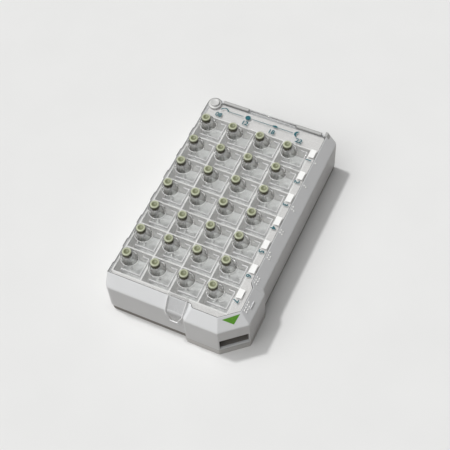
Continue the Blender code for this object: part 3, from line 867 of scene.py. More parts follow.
@dataclass
class Lid:
    """The clear lid: plate with domes in one moulding, ribs, hinge barrel, stud, latch tongue and prints.

    Places and sizes given in pairs for label fields, signs, lines and hours are in millimetres, except
    that the moon's turn is in shares of a half turn.
    """

    thickness: float = 1.8 * MM
    edge_inset: float = 9.0 * MM
    rear: float = 98.24 * MM
    corner_rear: float = 97.494 * MM
    trough_end: float = 46.4 * MM
    barrel_left: float = -23.5 * MM
    barrel_right: float = 20.6 * MM
    barrel_radius: float = 1.8 * MM
    barrel_soft: float = 0.2 * MM
    pin_radius: float = 0.9 * MM
    pin_length: float = 3.0 * MM
    ear_radius: float = 6.4 * MM
    ear_y: float = 95.24 * MM
    ear_points: int = 19
    notch_depth: float = 0.8 * MM
    notch_slope: float = 0.6 * MM
    notch_high: float = 22.34 * MM
    notch_low: float = 6.0 * MM
    dome_radius: float = 7.05 * MM
    shoulder: float = 1.0 * MM
    neck_outer: float = 4.75 * MM
    neck_inner: float = 4.05 * MM
    neck_height: float = 7.0 * MM
    neck_depth: float = 1.0 * MM
    neck_soft: float = 0.2 * MM
    lip_soft: float = 0.06 * MM
    bore_soft: float = 0.15 * MM
    foot_soft: float = 0.2 * MM
    foot_blend: float = 0.45 * MM
    ring_gaps: Pair = (0.35 * MM, 0.1 * MM)
    dome_rows: int = 13
    clear_from: float = 4.4 * MM
    wall: float = 1.0 * MM
    fillet: float = 0.5 * MM
    rim: float = 0.3 * MM
    rim_blend: float = 0.06 * MM
    under_soft: float = 0.15 * MM
    under_blend: float = 0.25 * MM
    side_points: int = 14
    rib_thickness: float = 0.8 * MM
    rib_drop: float = 2.4 * MM
    rib_overlap: float = 0.1 * MM
    rib_corner: float = 0.15 * MM
    rib_left: float = 6.0 * MM
    rib_margin_x: float = 2.0 * MM
    rib_margin_y: float = 3.6 * MM
    stud_collar: float = 5.6 * MM
    stud_radius: float = 4.0 * MM
    stud_height: float = 2.3 * MM
    stud_step: float = 0.4 * MM
    stud_sink: float = 0.9 * MM
    tongue_x: float = 2.0 * MM
    tongue_thickness: float = 1.3 * MM
    tongue_stand: float = 0.4 * MM
    tongue_hang: float = 8.5 * MM
    tongue_half: float = 8.4 * MM
    tongue_waist: float = 0.6 * MM
    tongue_taper: float = 3.8 * MM
    tongue_round: float = 1.4 * MM
    tongue_rim: float = 0.35 * MM
    tongue_rounds: int = 3
    tongue_stations: int = 56
    bead: float = 0.3 * MM
    bead_gap: float = 0.05 * MM
    bead_rise: float = 0.35
    bead_stations: int = 48
    bead_sides: int = 8
    tongue_bead: float = 0.45 * MM
    print_sink: float = 0.01 * MM
    print_rise: float = 0.05 * MM
    patch_left: float = 42.3 * MM
    patch_right: float = 47.0 * MM
    patch_span: Pair = (15.4, 23.8)
    sign_row: float = 91.6 * MM
    sign_lines: tuple[Pair, ...] = ((-38.4, -25.0), (-16.6, 1.4), (7.2, 21.0))
    dawn: Pair = (-42.6, 91.3)
    noon: Pair = (-20.8, 91.7)
    dusk: Pair = (4.4, 91.3)
    night: Pair = (25.2, 91.6)
    hours: tuple[tuple[str, float], ...] = (("08", -45.8), ("12", -20.6), ("18", 4.1), ("22", 28.9))
    sun_outer: Pair = (3.6, 3.0)
    sun_inner: Pair = (2.7, 2.2)
    moon_turn: Pair = (0.35, 1.55)
    moon_thickness: float = 0.5
    arc_points: int = 33
    disc_radius: float = 2.35 * MM
    moon_radius: float = 2.9 * MM
    sign_line: float = 0.26 * MM
    hour_row: float = 85.6 * MM
    hour_height: float = 4.4 * MM
    day_height: float = 4.6 * MM
    day_x: float = 43.9 * MM
    day_back: float = 12.2 * MM

    def build(self) -> None:
        """Makes all pieces of the lid."""
        sheet = ClearSheet("clear polystyrene sheet").build()
        solid = ClearSolid("clear polystyrene dome").build()
        # The white veil on the ribs and dome beads is a painted highlight for the bright lines and arcs at
        # their clear edges.
        milky = ClearSheet("polystyrene with a white veil as painted highlight", veil="#FFFFFF", veil_share=0.65).build()
        # The white rim bead along the tongue is a painted highlight for the bright lines along its clear
        # edges.
        rim = ClearSheet("polystyrene rim painted white as a highlight", veil="#FFFFFF", veil_share=0.8).build()
        # The darker grey of the lid's edge is painted shade for the gap between lid and housing.
        edge = ClearSheet("edge of the polystyrene sheet with painted gap shade", tint="#8E8E8C", veil="#A6A6A4", veil_share=0.4)
        grey = MouldedPlastic("light grey ABS of the stud", "#BCBCBA", "#CBCBC9", edge=0.3 * MM).build()
        teal = PrintInk("teal pad print ink", "#04505A", "#095C66").build()
        white = PrintInk("white pad print ink", "#F4F4F2", "#ECECEA").build()
        plate = to_object("lid_plate", self.plate(), [sheet, solid, edge.build()], Body.LID, 40.0)
        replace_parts(plate, "lid")
        for name, surface, material in (
            ("lid_ribs", self.ribs(), milky),
            ("dome_beads", self.beads(), milky),
            ("lid_hinge_barrel", self.barrel(), sheet),
            ("lid_stud", self.stud(), grey),
            ("lid_latch_tongue", self.tongue(), sheet),
            ("latch_tongue_bead", self.tongue_edge(), rim),
            ("lid_print", self.signs(), teal),
            ("lid_label_fields", self.fields(), white),
        ):
            to_object(name, surface, [material], Body.LID)

    def outline(self) -> Array:
        """The lid in plan, with the round ear at the rear left and a grip notch beside each day.

        Returns:
            Its points, anticlockwise.
        """
        insets = [self.edge_inset] * 7 + [PLAN.rear - self.corner_rear, 0.0]
        corners = list(map(tuple, PLAN.inset(insets)[:-1]))
        corners += [(self.trough_end, self.corner_rear), (self.trough_end, self.rear)]
        corners += [(self.barrel_right, self.rear), (self.barrel_right, PLAN.hinge_y)]
        corners += [(self.barrel_left, PLAN.hinge_y), (self.barrel_left, self.rear)]
        first = math.asin((self.rear - self.ear_y) / self.ear_radius)
        ear = turned(np.linspace(first, math.pi, self.ear_points)) * self.ear_radius
        corners += list(map(tuple, ear + [PLAN.left + self.ear_radius, self.ear_y]))
        deep = PLAN.left + self.notch_depth
        for day in range(PLAN.days):
            front = PLAN.cell(day, 0)[1]
            high, low = front + self.notch_high, front + self.notch_low
            corners += [(PLAN.left, high), (deep, high - self.notch_slope)]
            corners += [(deep, low + self.notch_slope), (PLAN.left, low)]
        return np.array(corners)

    def tile_edge(self) -> Array:
        """The boundary of one compartment's part of the plate: a rectangle with evenly spaced points.

        Returns:
            Its points, anticlockwise from the front left corner.
        """
        step = np.arange(self.side_points) / self.side_points
        zero, one = np.zeros_like(step), np.ones_like(step)
        sides = [(step, zero), (one, step), (1 - step, one), (zero, 1 - step)]
        return np.concatenate([np.stack(side, axis=-1) for side in sides]) * [PLAN.pitch_x, PLAN.pitch_y]

    def dome_wall(self, t: Array, radii: Pair, heights: Pair) -> Array:
        """One side of a dome's wall: the radius is neck + (foot - neck)(1 - t^3), the lean grows as t^1.5.

        Args:
            t: where on the wall, zero at the foot and one at the neck.
            radii: the radius at the foot and that of the neck.
            heights: the height of the foot and of the neck's end.

        Returns:
            Rows of radius, height above the plate's top and lean to the left.
        """
        (foot, neck), (low, high) = radii, heights
        rows = [neck + (foot - neck) * (1 - t**3), low + (high - low) * t, PLAN.neck_offset * t**1.5]
        return np.column_stack(rows)

    def dome_profile(self) -> tuple[Array, Array]:
        """The rings of a dome from the plate's top, over the neck, to the plate's underside.

        The inner wall follows the outer one a wall's thickness inside.

        Returns:
            Rows of radius, height above the plate's top and lean, and the material number of each band.
        """
        foot, neck, top = self.dome_radius, self.neck_outer, self.neck_height
        lean, bore, foot_in = PLAN.neck_offset, self.neck_inner, self.dome_radius - self.wall
        quarter = np.linspace(0, np.pi / 2, 5)
        fillet = np.stack(
            [foot + self.fillet * (1 - np.sin(quarter)), self.fillet * (1 - np.cos(quarter)), 0 * quarter],
            axis=-1,
        )
        t = np.linspace(0, 1, self.dome_rows)
        outer = self.dome_wall(t, (foot, neck), (self.shoulder, top))
        outer[-1, 1] -= self.neck_soft
        lip = [
            (neck - self.lip_soft, top - self.lip_soft, lean),
            (neck - self.neck_soft, top, lean),
            (bore + self.bore_soft, top, lean),
            (bore, top - self.bore_soft, lean),
            (bore, top - self.neck_depth, lean),
        ]
        inner = self.dome_wall(t[::-1][1:], (foot_in, bore), (0.0, top - self.neck_depth))
        around = [(foot + self.fillet + gap, 0.0, 0.0) for gap in self.ring_gaps]
        under = [
            (foot_in, self.foot_soft - self.thickness, 0.0),
            (foot_in + self.foot_soft, -self.thickness, 0.0),
            (foot_in + self.foot_blend, -self.thickness, 0.0),
        ]
        rows = np.vstack([around, fillet, [(foot, self.shoulder * 0.8, 0.0)], outer, lip, inner, under])
        # The thin neck and the plate take the sheet's finish, the wall of the dome takes the solid one
        slots = np.ones(len(rows) + 1, int)
        slots[1:-1] = (rows[:-1, 1] + rows[1:, 1]) / 2 < self.clear_from
        slots[:2] = 0
        slots[-3:] = 0
        return rows, slots

    def plate(self) -> Surface:
        """The plate and its domes, whose rings blend from a rectangle to circles: place + radius turned(a).

        Returns:
            One closed skin.
        """
        edge = self.tile_edge()
        sides = len(edge)
        rows, slots = self.dome_profile()
        angle = -3 * np.pi / 4 + np.arange(sides) * 2 * np.pi / sides
        place = np.array([PLAN.dome_across, PLAN.dome_back])
        lean = np.stack([rows[:, 2], np.zeros(len(rows))], axis=-1)
        flat = place - lean[:, None] + rows[:, :1, None] * turned(angle)
        height = np.broadcast_to(rows[:, 1, None, None] + PLAN.top, (len(rows), sides, 1))
        rings = np.concatenate([flat, height], axis=-1)
        outer = level(edge, PLAN.top)
        under = outer - [0, 0, self.thickness]
        tile = loft(np.concatenate([outer[None], rings, under[None]]), ends=False, slots=slots)
        plate = tile.moved(*PLAN.shifts())
        plate.join(self.border())
        return plate

    def border(self) -> Surface:
        """The plate around the compartments, from their outer lines to the lid's edge.

        The upper edge is a quarter circle: each ring is the outline moved inwards and down.

        Returns:
            The border, open where the compartments' parts join it.
        """
        x = PLAN.grid_left + np.arange(PLAN.slots * self.side_points) * PLAN.pitch_x / self.side_points
        y = PLAN.grid_front + np.arange(PLAN.days * self.side_points) * PLAN.pitch_y / self.side_points
        left, right = PLAN.grid_left, PLAN.grid_left + PLAN.slots * PLAN.pitch_x
        front, rear = PLAN.grid_front, PLAN.grid_front + PLAN.days * PLAN.pitch_y
        inner = np.concatenate(
            [
                level(x, front),
                np.column_stack([np.full(len(y), right), y]),
                level((left + right) - x, rear),
                np.column_stack([np.full(len(y), left), (front + rear) - y]),
            ]
        )
        outline = self.outline()
        quarter = np.linspace(0, np.pi / 2, 4)
        insets = [self.rim + self.rim_blend, *(self.rim * (1 - np.sin(quarter)))]
        insets += [0.0, self.under_soft, self.under_blend]
        drops = [0.0, *(self.rim * (1 - np.cos(quarter))), self.thickness - self.under_soft]
        drops += [self.thickness, self.thickness]
        rings = np.stack([level(offset(outline, a), PLAN.top - b) for a, b in zip(insets, drops)])
        # Bands of slot 2, the rounded rim, take the darker edge finish: painted shade for the gap around the
        # lid.
        border = loft(rings, ends=False, slots=np.array([0, 0, 2, 2, 2, 2, 0]))
        for ring, z in ((rings[0], PLAN.top), (rings[-1], PLAN.top - self.thickness)):
            loops = [[Vector((*p[:2], 0.0)) for p in ring], [Vector((*p, 0.0)) for p in inner[::-1]]]
            flat = np.array([tuple(p) for loop in loops for p in loop])
            flat[:, 2] = z
            border.add(flat, np.array(tessellate_polygon(loops)))
        return border

    def ribs(self) -> Surface:
        """The bracket under the lid in each compartment: a rounded bar along a mitred path.

        Returns:
            All brackets, each closed.
        """
        right = PLAN.pitch_x - self.rib_margin_x - self.rib_thickness / 2
        low = self.rib_margin_y + self.rib_thickness / 2
        high = PLAN.pitch_y - low
        rear_start = PLAN.dome_across + self.dome_radius + 2 * self.rib_thickness
        path = np.array([(self.rib_left, low), (right, low), (right, high), (rear_start, high)])
        mitre = np.array([(0.0, 1.0), (-1.0, 1.0), (-1.0, -1.0), (0.0, -1.0)])
        section = rounded_box(self.rib_thickness, self.rib_drop + self.rib_overlap, self.rib_corner, 2)
        middle = PLAN.top - self.thickness - self.rib_drop / 2 + self.rib_overlap / 2
        lift = np.tile([0.0, 0.0, 1.0], (4, 1))
        return sweep(level(path, middle), level(mitre, 0.0), lift, section).moved(*PLAN.shifts())

    def barrel(self) -> Surface:
        """The hinge barrel with its pins, turned about the hinge line.

        Returns:
            The closed surface.
        """
        left, right = self.barrel_left, self.barrel_right
        radius, pin, soft = self.barrel_radius, self.pin_radius, self.barrel_soft
        profile = [
            (0.0, left - self.pin_length),
            (pin - soft, left - self.pin_length),
            (pin, left - self.pin_length + soft),
            (pin, left),
            (radius - soft, left),
            (radius, left + soft),
            (radius, right - soft),
            (radius - soft, right),
            (pin, right),
            (pin, right + self.pin_length - soft),
            (pin - soft, right + self.pin_length),
            (0.0, right + self.pin_length),
        ]
        return revolve(np.array(profile), (0.0, PLAN.hinge_y, PLAN.hinge_z), axis=0, sides=32)

    def stud(self) -> Surface:
        """The round stud with its collar and shallow dish, turned about its own axis.

        Returns:
            The closed surface.
        """
        collar, stud, high, step = self.stud_collar, self.stud_radius, self.stud_height, self.stud_step
        profile = [
            (0.0, -self.stud_sink),
            (collar, -self.stud_sink),
            (collar, step - 0.15 * MM),
            (collar - 0.15 * MM, step),
            (stud + 0.3 * MM, step),
            (stud + 0.08 * MM, step + 0.1 * MM),
            (stud, step + 0.3 * MM),
            (stud, high - 0.4 * MM),
            (stud - 0.12 * MM, high - 0.12 * MM),
            (stud - 0.4 * MM, high),
            (stud - 0.9 * MM, high - 0.03 * MM),
            (stud - 1.4 * MM, high - 0.3 * MM),
            (0.0, high - 0.35 * MM),
        ]
        return revolve(np.array(profile), (PLAN.left + self.ear_radius, self.ear_y, PLAN.top), sides=48)

    def tongue_line(self) -> tuple[Array, Array, Array, Array]:
        """The tongue's centre line and widths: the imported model's bent path with rounded bends.

        Returns:
            At each station its place, the normal, the half width and the length from the start.
        """
        edge = PLAN.front + self.edge_inset
        front = PLAN.front - self.tongue_stand - self.tongue_thickness / 2
        top = PLAN.top + self.tongue_stand + self.tongue_thickness / 2
        end = PLAN.bevel_foot - self.tongue_hang
        line = np.array(
            [
                (edge + 2.0 * MM, PLAN.top - 0.25 * MM),
                (edge - 0.2 * MM, top),
                (PLAN.front + PLAN.bevel_run - 0.4 * MM, top),
                (front, PLAN.bevel_foot + 0.3 * MM),
                (front, end + 0.6 * MM),
                (front - 1.3 * MM, end - 0.75 * MM),
            ]
        )
        for _ in range(self.tongue_rounds):
            quarter = 0.75 * line[:-1] + 0.25 * line[1:]
            threequarter = 0.25 * line[:-1] + 0.75 * line[1:]
            inner = np.stack([quarter, threequarter], axis=1).reshape(-1, 2)
            line = np.vstack([line[:1], inner, line[-1:]])
        along = np.concatenate([[0.0], np.cumsum(np.linalg.norm(np.diff(line, axis=0), axis=1))])
        u = np.linspace(0, along[-1], self.tongue_stations)
        y, z = np.interp(u, along, line[:, 0]), np.interp(u, along, line[:, 1])
        tangent = unit(np.gradient(np.stack([y, z], axis=-1), axis=0))
        fall = np.interp(PLAN.bevel_foot, z[::-1], u[::-1])
        half = self.tongue_half - self.tongue_waist * smooth(u, 0.35 * fall, fall)
        half -= self.tongue_taper * smooth(u, fall - 1.0 * MM, u[-1] - 1.5 * MM)
        half -= self.tongue_round * smooth(u, u[-1] - 1.6 * MM, u[-1]) ** 2
        normal = np.column_stack([np.zeros(len(y)), tangent[:, 1], -tangent[:, 0]])
        return np.column_stack([np.full(len(y), self.tongue_x), y, z]), normal, half, u

    def tongue(self) -> Surface:
        """The latch tongue: a strip that leaves the lid over the rim, follows the bevel and hangs down.

        Its section has a raised rim along both sides that fades at the lower end.

        Returns:
            The closed surface.
        """
        path, normal, half, u = self.tongue_line()
        v = np.linspace(-1, 1, 19)
        shape = np.sign(v) * np.abs(v) ** 0.7
        outer = np.column_stack([shape, np.ones_like(shape)])
        inner = np.column_stack([shape[::-1], -np.ones_like(shape)])
        shares, faces = np.vstack([outer, inner]).T
        across = half[:, None] * shares
        rim = smooth(np.abs(across), (half - 1.9 * MM)[:, None], (half - 1.0 * MM)[:, None])
        fade = 1 - smooth(u, u[-1] - 4.0 * MM, u[-1] - 1.0 * MM)
        raised = self.tongue_rim * rim * fade[:, None] * (faces > 0)
        soft = 1 - 0.35 * smooth(np.abs(shares), 0.93, 1.0)
        height = faces * self.tongue_thickness / 2 * soft + raised * soft
        side = np.tile([1.0, 0.0, 0.0], (len(u), 1))
        return sweep(path, side, normal, np.stack([across, height], axis=-1))

    def tongue_edge(self) -> Surface:
        """A bead that follows both sides and the end of the tongue, as a round bar along a U.

        Returns:
            The closed surface.
        """
        path, normal, half, _ = self.tongue_line()
        use = slice(6, len(path) - 1)
        normal = normal[use]
        line = path[use] + normal * self.tongue_thickness * 0.45
        width = (half[use] - self.tongue_bead * 0.8)[:, None] * np.array([1.0, 0.0, 0.0])
        left, right = line - width, line + width
        share = np.linspace(0, 1, 9)[1:-1, None]
        across = left[-1] * (1 - share) + right[-1] * share
        path = np.vstack([left, across, right[::-1]])
        out = np.vstack([normal, np.repeat(normal[-1:], len(across), axis=0), normal[::-1]])
        step = unit(np.gradient(path, axis=0))
        side = unit(np.cross(step, out))
        circle = self.tongue_bead * turned(np.linspace(0, 2 * np.pi, self.bead_sides, endpoint=False))
        return sweep(path, side, np.cross(side, step), circle)

    def beads(self) -> Surface:
        """The round bead at the foot of each dome: a circle carried around the dome's axis.

        Returns:
            All beads, each closed.
        """
        turn = np.linspace(0, 2 * np.pi, self.bead_stations, endpoint=False)
        angle = np.linspace(0, 2 * np.pi, self.bead_sides, endpoint=False)
        radius = self.dome_radius + self.bead_gap + self.bead * np.cos(angle)
        height = PLAN.top + self.bead * (self.bead_rise + np.sin(angle))
        across = radius * np.cos(turn)[:, None] + PLAN.dome_across
        back = radius * np.sin(turn)[:, None] + PLAN.dome_back
        rings = np.stack([across, back, np.broadcast_to(height, across.shape)], axis=-1)
        ring = Surface()
        ring.add(rings.reshape(-1, 3), band_faces(len(turn), len(angle), closed=True))
        return ring.moved(*PLAN.shifts())

    def printed(self, left: Array, right: Array) -> Surface:
        """A printed area between two lines in plan, as a thin plate sunk a little into the lid."""
        return plate_between(left, right, PLAN.top - self.print_sink, PLAN.top + self.print_rise)

    def fields(self) -> Surface:
        """A white field beside each compartment of the right column, as a thin plate.

        Returns:
            All fields, each closed.
        """
        fields = Surface()
        for day in range(PLAN.days):
            y = np.array(self.patch_span) * MM + PLAN.cell(day, 0)[1]
            left = np.column_stack([np.full(2, self.patch_left), y])
            right = np.column_stack([np.full(2, self.patch_right), y])
            fields.join(self.printed(right, left))
        return fields

    def signs(self) -> Surface:
        """The row of sun and moon signs with its line, the hours under it and the day numerals.

        Returns:
            All prints, each closed.
        """
        lines = [level(np.linspace(start, end, 12) * MM, self.sign_row) for start, end in self.sign_lines]
        half_line = np.array([0, self.sign_line])
        areas = [(line + half_line, line - half_line) for line in lines]
        # The rising sun: a ribbon between an outer and an inner half ellipse
        half_turn = turned(np.linspace(0, np.pi, self.arc_points))
        dawn, noon, dusk, night = np.array([self.dawn, self.noon, self.dusk, self.night]) * MM
        outer, inner = np.array([self.sun_outer, self.sun_inner]) * MM
        areas.append((dawn + outer * half_turn, dawn + inner * half_turn))
        # The disc at noon and the half disc in the evening
        upper = self.disc_radius * half_turn
        areas.append((noon + upper, noon + upper * [1, -1]))
        areas.append((dusk + upper * [1.15, 0.75], dusk + upper * [1.15, -0.1]))
        # The crescent: an outer arc and a flatter inner one that share their tips
        start, end = self.moon_turn
        arc = turned(np.linspace(start * np.pi, end * np.pi, self.arc_points))
        outer = night + self.moon_radius * arc
        chord = np.linspace(0, 1, self.arc_points)[:, None]
        base = outer[0] * (1 - chord) + outer[-1] * chord
        areas.append((outer, base + (outer - base) * self.moon_thickness))
        signs = Surface()
        for first, second in areas:
            signs.join(self.printed(first, second))
        right, rear = np.array([1.0, 0.0, 0.0]), np.array([0.0, 1.0, 0.0])
        for text, x in self.hours:
            middle = np.array([x * MM, self.hour_row, PLAN.top])
            signs.join(numeral(text, self.hour_height, middle, right, rear, self.print_rise))
        for day in range(PLAN.days):
            middle = np.array([self.day_x, PLAN.cell(day, 0)[1] + self.day_back, PLAN.top])
            signs.join(numeral(str(day + 1), self.day_height, middle, -rear, right, self.print_rise))
        return signs


# The buttons


@dataclass
class Buttons:
    """The 28 buttons: a green dished cap on a round body that slides in the dome's neck, and its stem."""

    radius: float = 3.75 * MM
    foot: float = 4.0 * MM
    top: float = 10.0 * MM
    dish_radius: float = 2.4 * MM
    dish_depth: float = 0.9 * MM
    stem_radius: float = 1.0 * MM
    stem_end: float = 28.75 * MM
    cap_foot: float = 8.9 * MM
    sides: int = 36

    def build(self) -> None:
        """Makes a button for each compartment, on its own body."""
        rim = MouldedPlastic("sage green ABS", "#B0B49A", "#A5AA8E", 0.36, edge=0.3 * MM, flow=4 * MM)
        # The dish's darker green is painted shade in the hollow of the dish.
        dish = MouldedPlastic("sage green ABS with painted shade in the dish", "#767A5C", "#6C7053", 0.4, edge=0.2 * MM)
        # The dark olive of the skirt, the body below the cap seen in the dome, is painted shade of the same
        # green.
        painted_shade_skirt = MouldedPlastic("sage green ABS with painted shade on the skirt", "#4A4834", "#423F2E", 0.42, edge=0.2 * MM)
        stem = ClearSheet("clear polystyrene stem", veil_share=0.12)
        finishes = [rim.build(), painted_shade_skirt.build(), dish.build(), stem.build()]
        shape = self.shape()
        for ending, left, front in PLAN.cells():
            place = (left + PLAN.dome_across - PLAN.neck_offset, front + PLAN.dome_back, PLAN.top)
            node = f"button_{ending}"
            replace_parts(to_object(f"cap_{ending}", shape.moved(place), finishes, node), node)

    def shape(self) -> Surface:
        """A button about its slide axis, with the lid's top at zero height.

        The dish is a bowl whose depth falls with the square of the radius.

        Returns:
            Body and stem as closed skins.
        """
        r, foot, top, cap = self.radius, self.foot, self.top, self.cap_foot
        across = np.linspace(self.dish_radius, 0, 8)
        bowl = np.stack([across, top - self.dish_depth * (1 - (across / self.dish_radius) ** 2)], axis=-1)
        rim = [
            (0.0, foot),
            (r - 1.2 * MM, foot),
            (r - 0.5 * MM, foot + 0.22 * MM),
            (r - 0.15 * MM, foot + 0.6 * MM),
            (r, foot + 1.2 * MM),
            (r, cap - 0.15 * MM),
            (r - 0.12 * MM, cap),
            (r, cap + 0.15 * MM),
            (r, top - 0.55 * MM),
            (r - 0.08 * MM, top - 0.25 * MM),
            (r - 0.28 * MM, top - 0.05 * MM),
            (r - 0.5 * MM, top),
            (self.dish_radius + 0.12 * MM, top),
        ]
        profile = np.vstack([rim, bowl])
        body = revolve(profile, (0.0, 0.0, 0.0), sides=self.sides)
        middle = (profile[:-1] + profile[1:]) / 2
        # Slot 1, the body below the cap's foot, takes the painted shade of the skirt; slot 2, the dish, takes
        # its painted shade.
        bands = np.where(middle[:, 1] < cap, 1, np.where(middle[:, 0] < self.dish_radius, 2, 0))
        body.slots = [np.repeat(bands, self.sides)]
        end, high, s = self.stem_end - PLAN.top, foot + 0.3 * MM, self.stem_radius
        stem = [(0.0, end), (s - 0.3 * MM, end), (s, end + 0.3 * MM), (s, high), (0.0, high)]
        shaft = revolve(np.array(stem), (PLAN.neck_offset, 0.0, 0.0), sides=16)
        shaft.slots = [np.full(len(shaft.faces[0]), 3)]
        body.join(shaft)
        return body


# The case


@dataclass
class Case:
    """Housing, base, tray and trapdoors, with the marks on the housing.

    The pointer's corners are in millimetres, along the bevel and up it.
    """

    dot_radius: float = 0.8 * MM
    dot_height: float = 0.5 * MM
    dot_pitch: float = 2.6 * MM
    dot_rows: Pair = (10.5 * MM, 8.2 * MM)
    dot_sink: float = 0.15 * MM
    wall: float = 1.2 * MM
    tray_top: float = 42.4 * MM
    crown: float = 0.06 * MM
    hinge_shade_zone: Place = (-0.2, 98.3 * MM, 42.0 * MM)
    spout_heights: Pair = (0.3 * MM, 6.2 * MM)
    pointer_corners: tuple[Pair, ...] = ((-7.0, 10.4), (1.3, 4.2), (7.8, 11.25))

    def build(self) -> None:
        """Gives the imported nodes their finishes, then adds the dots, the wall tops and the pointer."""
        # The hinge zone is painted shade: a darker grey band over the knuckles along the rear edge.
        hinge = Zone("#A6A6A4", self.hinge_shade_zone, (0.2, 0.2, 0.1))
        low, high = self.spout_heights
        spout_left = PLAN.spout_left - PLAN.bulge
        spout = Zone("#D2D1CF", (spout_left, -0.2, low), (0.2, PLAN.spout_rear, high))
        grey = MouldedPlastic("light grey ABS", "#DADBDC", "#D6D7D8", 0.45, edge=0.8 * MM, zones=(hinge,))
        # The base's darker grey is painted shade of the recess under the housing; the spout zone, where the
        # base stands flush, leaves that painted shade out.
        foot = MouldedPlastic(
            "light grey ABS of the base with painted recess shade", "#8A8681", "#837F7A", 0.55, edge=0.3 * MM, zones=(spout,)
        )
        white = MouldedPlastic("white polypropylene", "#E8E7E5", "#E1E0DE", 0.4, edge=0.3 * MM)
        frosted = MouldedPlastic("frosted polypropylene", "#D8DAD9", "#D0D3D2", 0.36).build()
        self.dress("housing", grey.build())
        self.dress("base", foot.build())
        self.dress("pill_tray", white.build())
        for ending, *_ in PLAN.cells():
            self.dress(f"trapdoor_{ending}", frosted)
        # The dots are painted near white so that they show as bright specks: a painted highlight.
        bright = MouldedPlastic("polypropylene dots painted white as a highlight", "#F7F7F5", "#F0F0EE", 0.3, edge=0.1 * MM)
        # The wall tops are painted brighter than the tray: a painted highlight.
        crown_highlight = MouldedPlastic(
            "white polypropylene with painted highlight on the wall tops", "#FBFBF9", "#F4F4F2", 0.32, edge=0.05 * MM
        )
        green = PrintInk("leaf green pad print ink", "#4E8A1D", "#5A9626")
        to_object("tactile_dots", self.dots(), [bright.build()], Body.CASE)
        to_object("tray_wall_crowns", self.crowns(), [crown_highlight.build()], Body.CASE)
        to_object("spout_pointer", self.pointer(), [green.build()], Body.CASE)

    def dress(self, node: str, material: Material) -> None:
        """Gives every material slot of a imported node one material.

        Args:
            node: the node's name.
            material: its finish.
        """
        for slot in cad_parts[node].material_slots:
            slot.material = material
        LOG.info("%s keeps its packed shape", node)

    def crowns(self) -> Surface:
        """The tops of the walls between the compartments, as a thin plate painted brighter than the tray: a
        painted highlight.

        A field of the lattice is open where both its column and its row lie between walls.

        Returns:
            One closed thin plate with 28 openings.
        """
        x = PLAN.grid_left + np.arange(PLAN.slots + 1) * PLAN.pitch_x
        y = PLAN.grid_front + np.arange(PLAN.days + 1) * PLAN.pitch_y
        half = np.array([-self.wall, self.wall]) / 2
        x, y = (x[:, None] + half).ravel(), (y[:, None] + half).ravel()
        column, row = np.meshgrid(np.arange(len(x) - 1), np.arange(len(y) - 1), indexing="ij")
        solid = (column % 2 == 0) | (row % 2 == 0)
        return lattice(x, y, solid, self.tray_top - 0.02 * MM, self.tray_top + self.crown)

    def bevel_frame(self, start: Array, end: Array) -> tuple[Array, Array, Array]:
        """The directions of a bevel face over one edge of the wall.

        Args:
            start: first corner of the edge in plan.
            end: second corner.

        Returns:
            Unit vectors along the edge, up the slope and out of the face.
        """
        along = np.append((end - start) / np.linalg.norm(end - start), 0.0)
        out = np.array([along[1], -along[0], 0.0])
        up = -out * PLAN.bevel_run + np.array([0.0, 0.0, PLAN.bevel_drop])
        up /= np.linalg.norm(up)
        return along, up, np.cross(along, up)

    def dots(self) -> Surface:
        """Raised dots on the right bevel, as many as the day's number, in a double row.

        A dot is a cap whose height falls with the square of the distance from its middle.

        Returns:
            All dots, each closed.
        """
        corners = PLAN.corners()
        along, up, out = self.bevel_frame(corners[6], corners[7])
        radius = np.linspace(1, 0, 5)[:, None]
        angle = np.linspace(0, 2 * np.pi, 14, endpoint=False)
        rise = self.dot_height * (1 - radius**2)
        across, higher = self.dot_radius * radius * np.cos(angle), self.dot_radius * radius * np.sin(angle)
        cap = across[..., None] * along + higher[..., None] * up + (rise + 0 * angle)[..., None] * out
        sunk = cap[:1] - self.dot_sink * out
        pole = np.broadcast_to(sunk.mean(axis=1, keepdims=True), sunk.shape)
        dot = loft(np.concatenate([pole, sunk, cap]), ends=False)
        dots = Surface()
        foot = np.array([PLAN.right, 0.0, PLAN.bevel_foot])
        for count in range(1, PLAN.days + 1):
            centre = PLAN.cell(count - 1, 0)[1] + PLAN.pitch_y / 2
            columns = (count + 1) // 2
            for k in range(count):
                column, row = divmod(k, 2)
                y = centre + (column - (columns - 1) / 2) * self.dot_pitch
                place = foot + up * self.dot_rows[row] + np.array([0.0, y, 0.0])
                # The last day lies on the spout, whose wall stands further out
                if count == PLAN.days:
                    place = place + np.array([PLAN.bulge, 0.0, 0.0])
                dots.join(dot.moved(tuple(place)))
        return dots

    def pointer(self) -> Surface:
        """The green triangle on the bevel over the mouth, as a thin plate.

        Returns:
            The closed surface.
        """
        corners = PLAN.corners()
        along, up, out = self.bevel_frame(corners[3], corners[4])
        middle = np.append((corners[3] + corners[4]) / 2, PLAN.bevel_foot)
        flat = np.array(self.pointer_corners) * MM
        points = middle + flat[:, :1] * along + flat[:, 1:] * up
        return loft(np.stack([points - 0.03 * MM * out, points + 0.05 * MM * out]))


# The studio


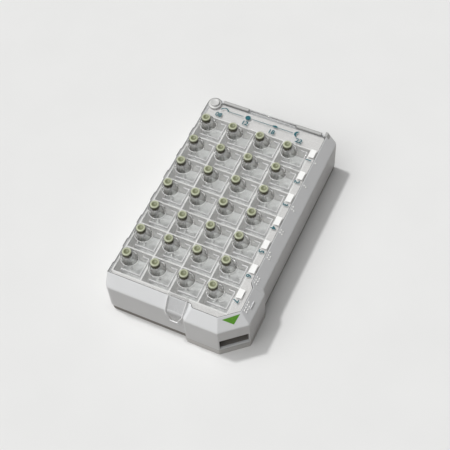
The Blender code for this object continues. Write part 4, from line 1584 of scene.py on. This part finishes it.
@dataclass
class Studio:
    """Camera, lamps, world and floor."""

    focal: float = 85.629
    place: Place = (0.23493061, -0.42842633, 0.76529642)
    right: Place = (0.90669445, 0.41920088, -0.04664548)
    up: Place = (-0.32849835, 0.77119, 0.5453025)
    back: Place = (0.26456382, -0.47909978, 0.83694049)
    lamps: tuple[tuple[str, Place, float, float], ...] = (
        ("key lamp", (-0.38, 0.03, 0.90), 1.4, 5.0),
        ("wide soft lamp", (-0.28, -0.33, 0.90), 2.0, 72.0),
    )
    sky: float = 0.09
    room: float = 0.8
    floor_half: float = 6.0

    def build(self) -> None:
        """Makes the camera, the lamps, the world and the floor."""
        self.camera()
        for name, source, strength, angle in self.lamps:
            self.lamp(name, source, strength, angle)
        self.world()
        self.floor()
        bpy.context.scene.view_settings.view_transform = "Standard"

    def add_object(self, name: str, data: Any) -> bpy.types.Object:
        """Puts a new object in the scene.

        Args:
            name: its name.
            data: its data.

        Returns:
            The object.
        """
        made = bpy.data.objects.new(name, data)
        bpy.context.scene.collection.objects.link(made)
        return made

    def camera(self) -> None:
        """Puts the camera where the photograph was taken from."""
        data = bpy.data.cameras.new("camera")
        data.sensor_width = 36.0
        data.lens = self.focal
        data.clip_start = 0.01
        camera = self.add_object("camera", data)
        turn = Matrix((self.right, self.up, self.back)).transposed().to_4x4()
        camera.matrix_world = Matrix.Translation(self.place) @ turn
        bpy.context.scene.camera = camera

    def lamp(self, name: str, source: Place, strength: float, angle: float) -> None:
        """Adds one distant lamp.

        Args:
            name: its name.
            source: direction from the box to the lamp.
            strength: its strength.
            angle: its width in degrees.
        """
        data = bpy.data.lights.new(name, "SUN")
        data.energy = strength
        data.angle = math.radians(angle)
        self.add_object(name, data).rotation_euler = Vector(source).to_track_quat("Z", "Y").to_euler()

    def world(self) -> None:
        """Soft light from all round, and a paler room for gloss and clear plastic to show."""
        world = bpy.data.worlds.new("studio")
        bpy.context.scene.world = world
        world.use_nodes = True
        tree = world.node_tree
        tree.nodes.clear()
        soft, pale = (
            add_node(tree, "Background", {"Color": (1, 1, 1, 1), "Strength": strength})
            for strength in (self.sky, self.room)
        )
        both = add_node(tree, "MixShader", {0: seen(tree), 1: soft, 2: pale})
        add_node(tree, "OutputWorld", {"Surface": both})

    def floor(self) -> None:
        """Lays the floor under the box."""
        half = self.floor_half
        mesh = bpy.data.meshes.new("studio floor")
        corners = [(-half, -half, 0), (half, -half, 0), (half, half, 0), (-half, half, 0)]
        mesh.from_pydata(corners, [], [(0, 1, 2, 3)])
        mesh.materials.append(Ground().build())
        self.add_object("studio floor", mesh)


def main() -> None:
    """Builds the studio and the dressed box in order."""
    logging.basicConfig(level=logging.INFO, format="%(name)s: %(message)s", stream=sys.stdout)
    for part in (Studio(), Case(), Lid(), Buttons()):
        LOG.info("builds %s", type(part).__name__)
        part.build()


if __name__ == "__main__":
    main()
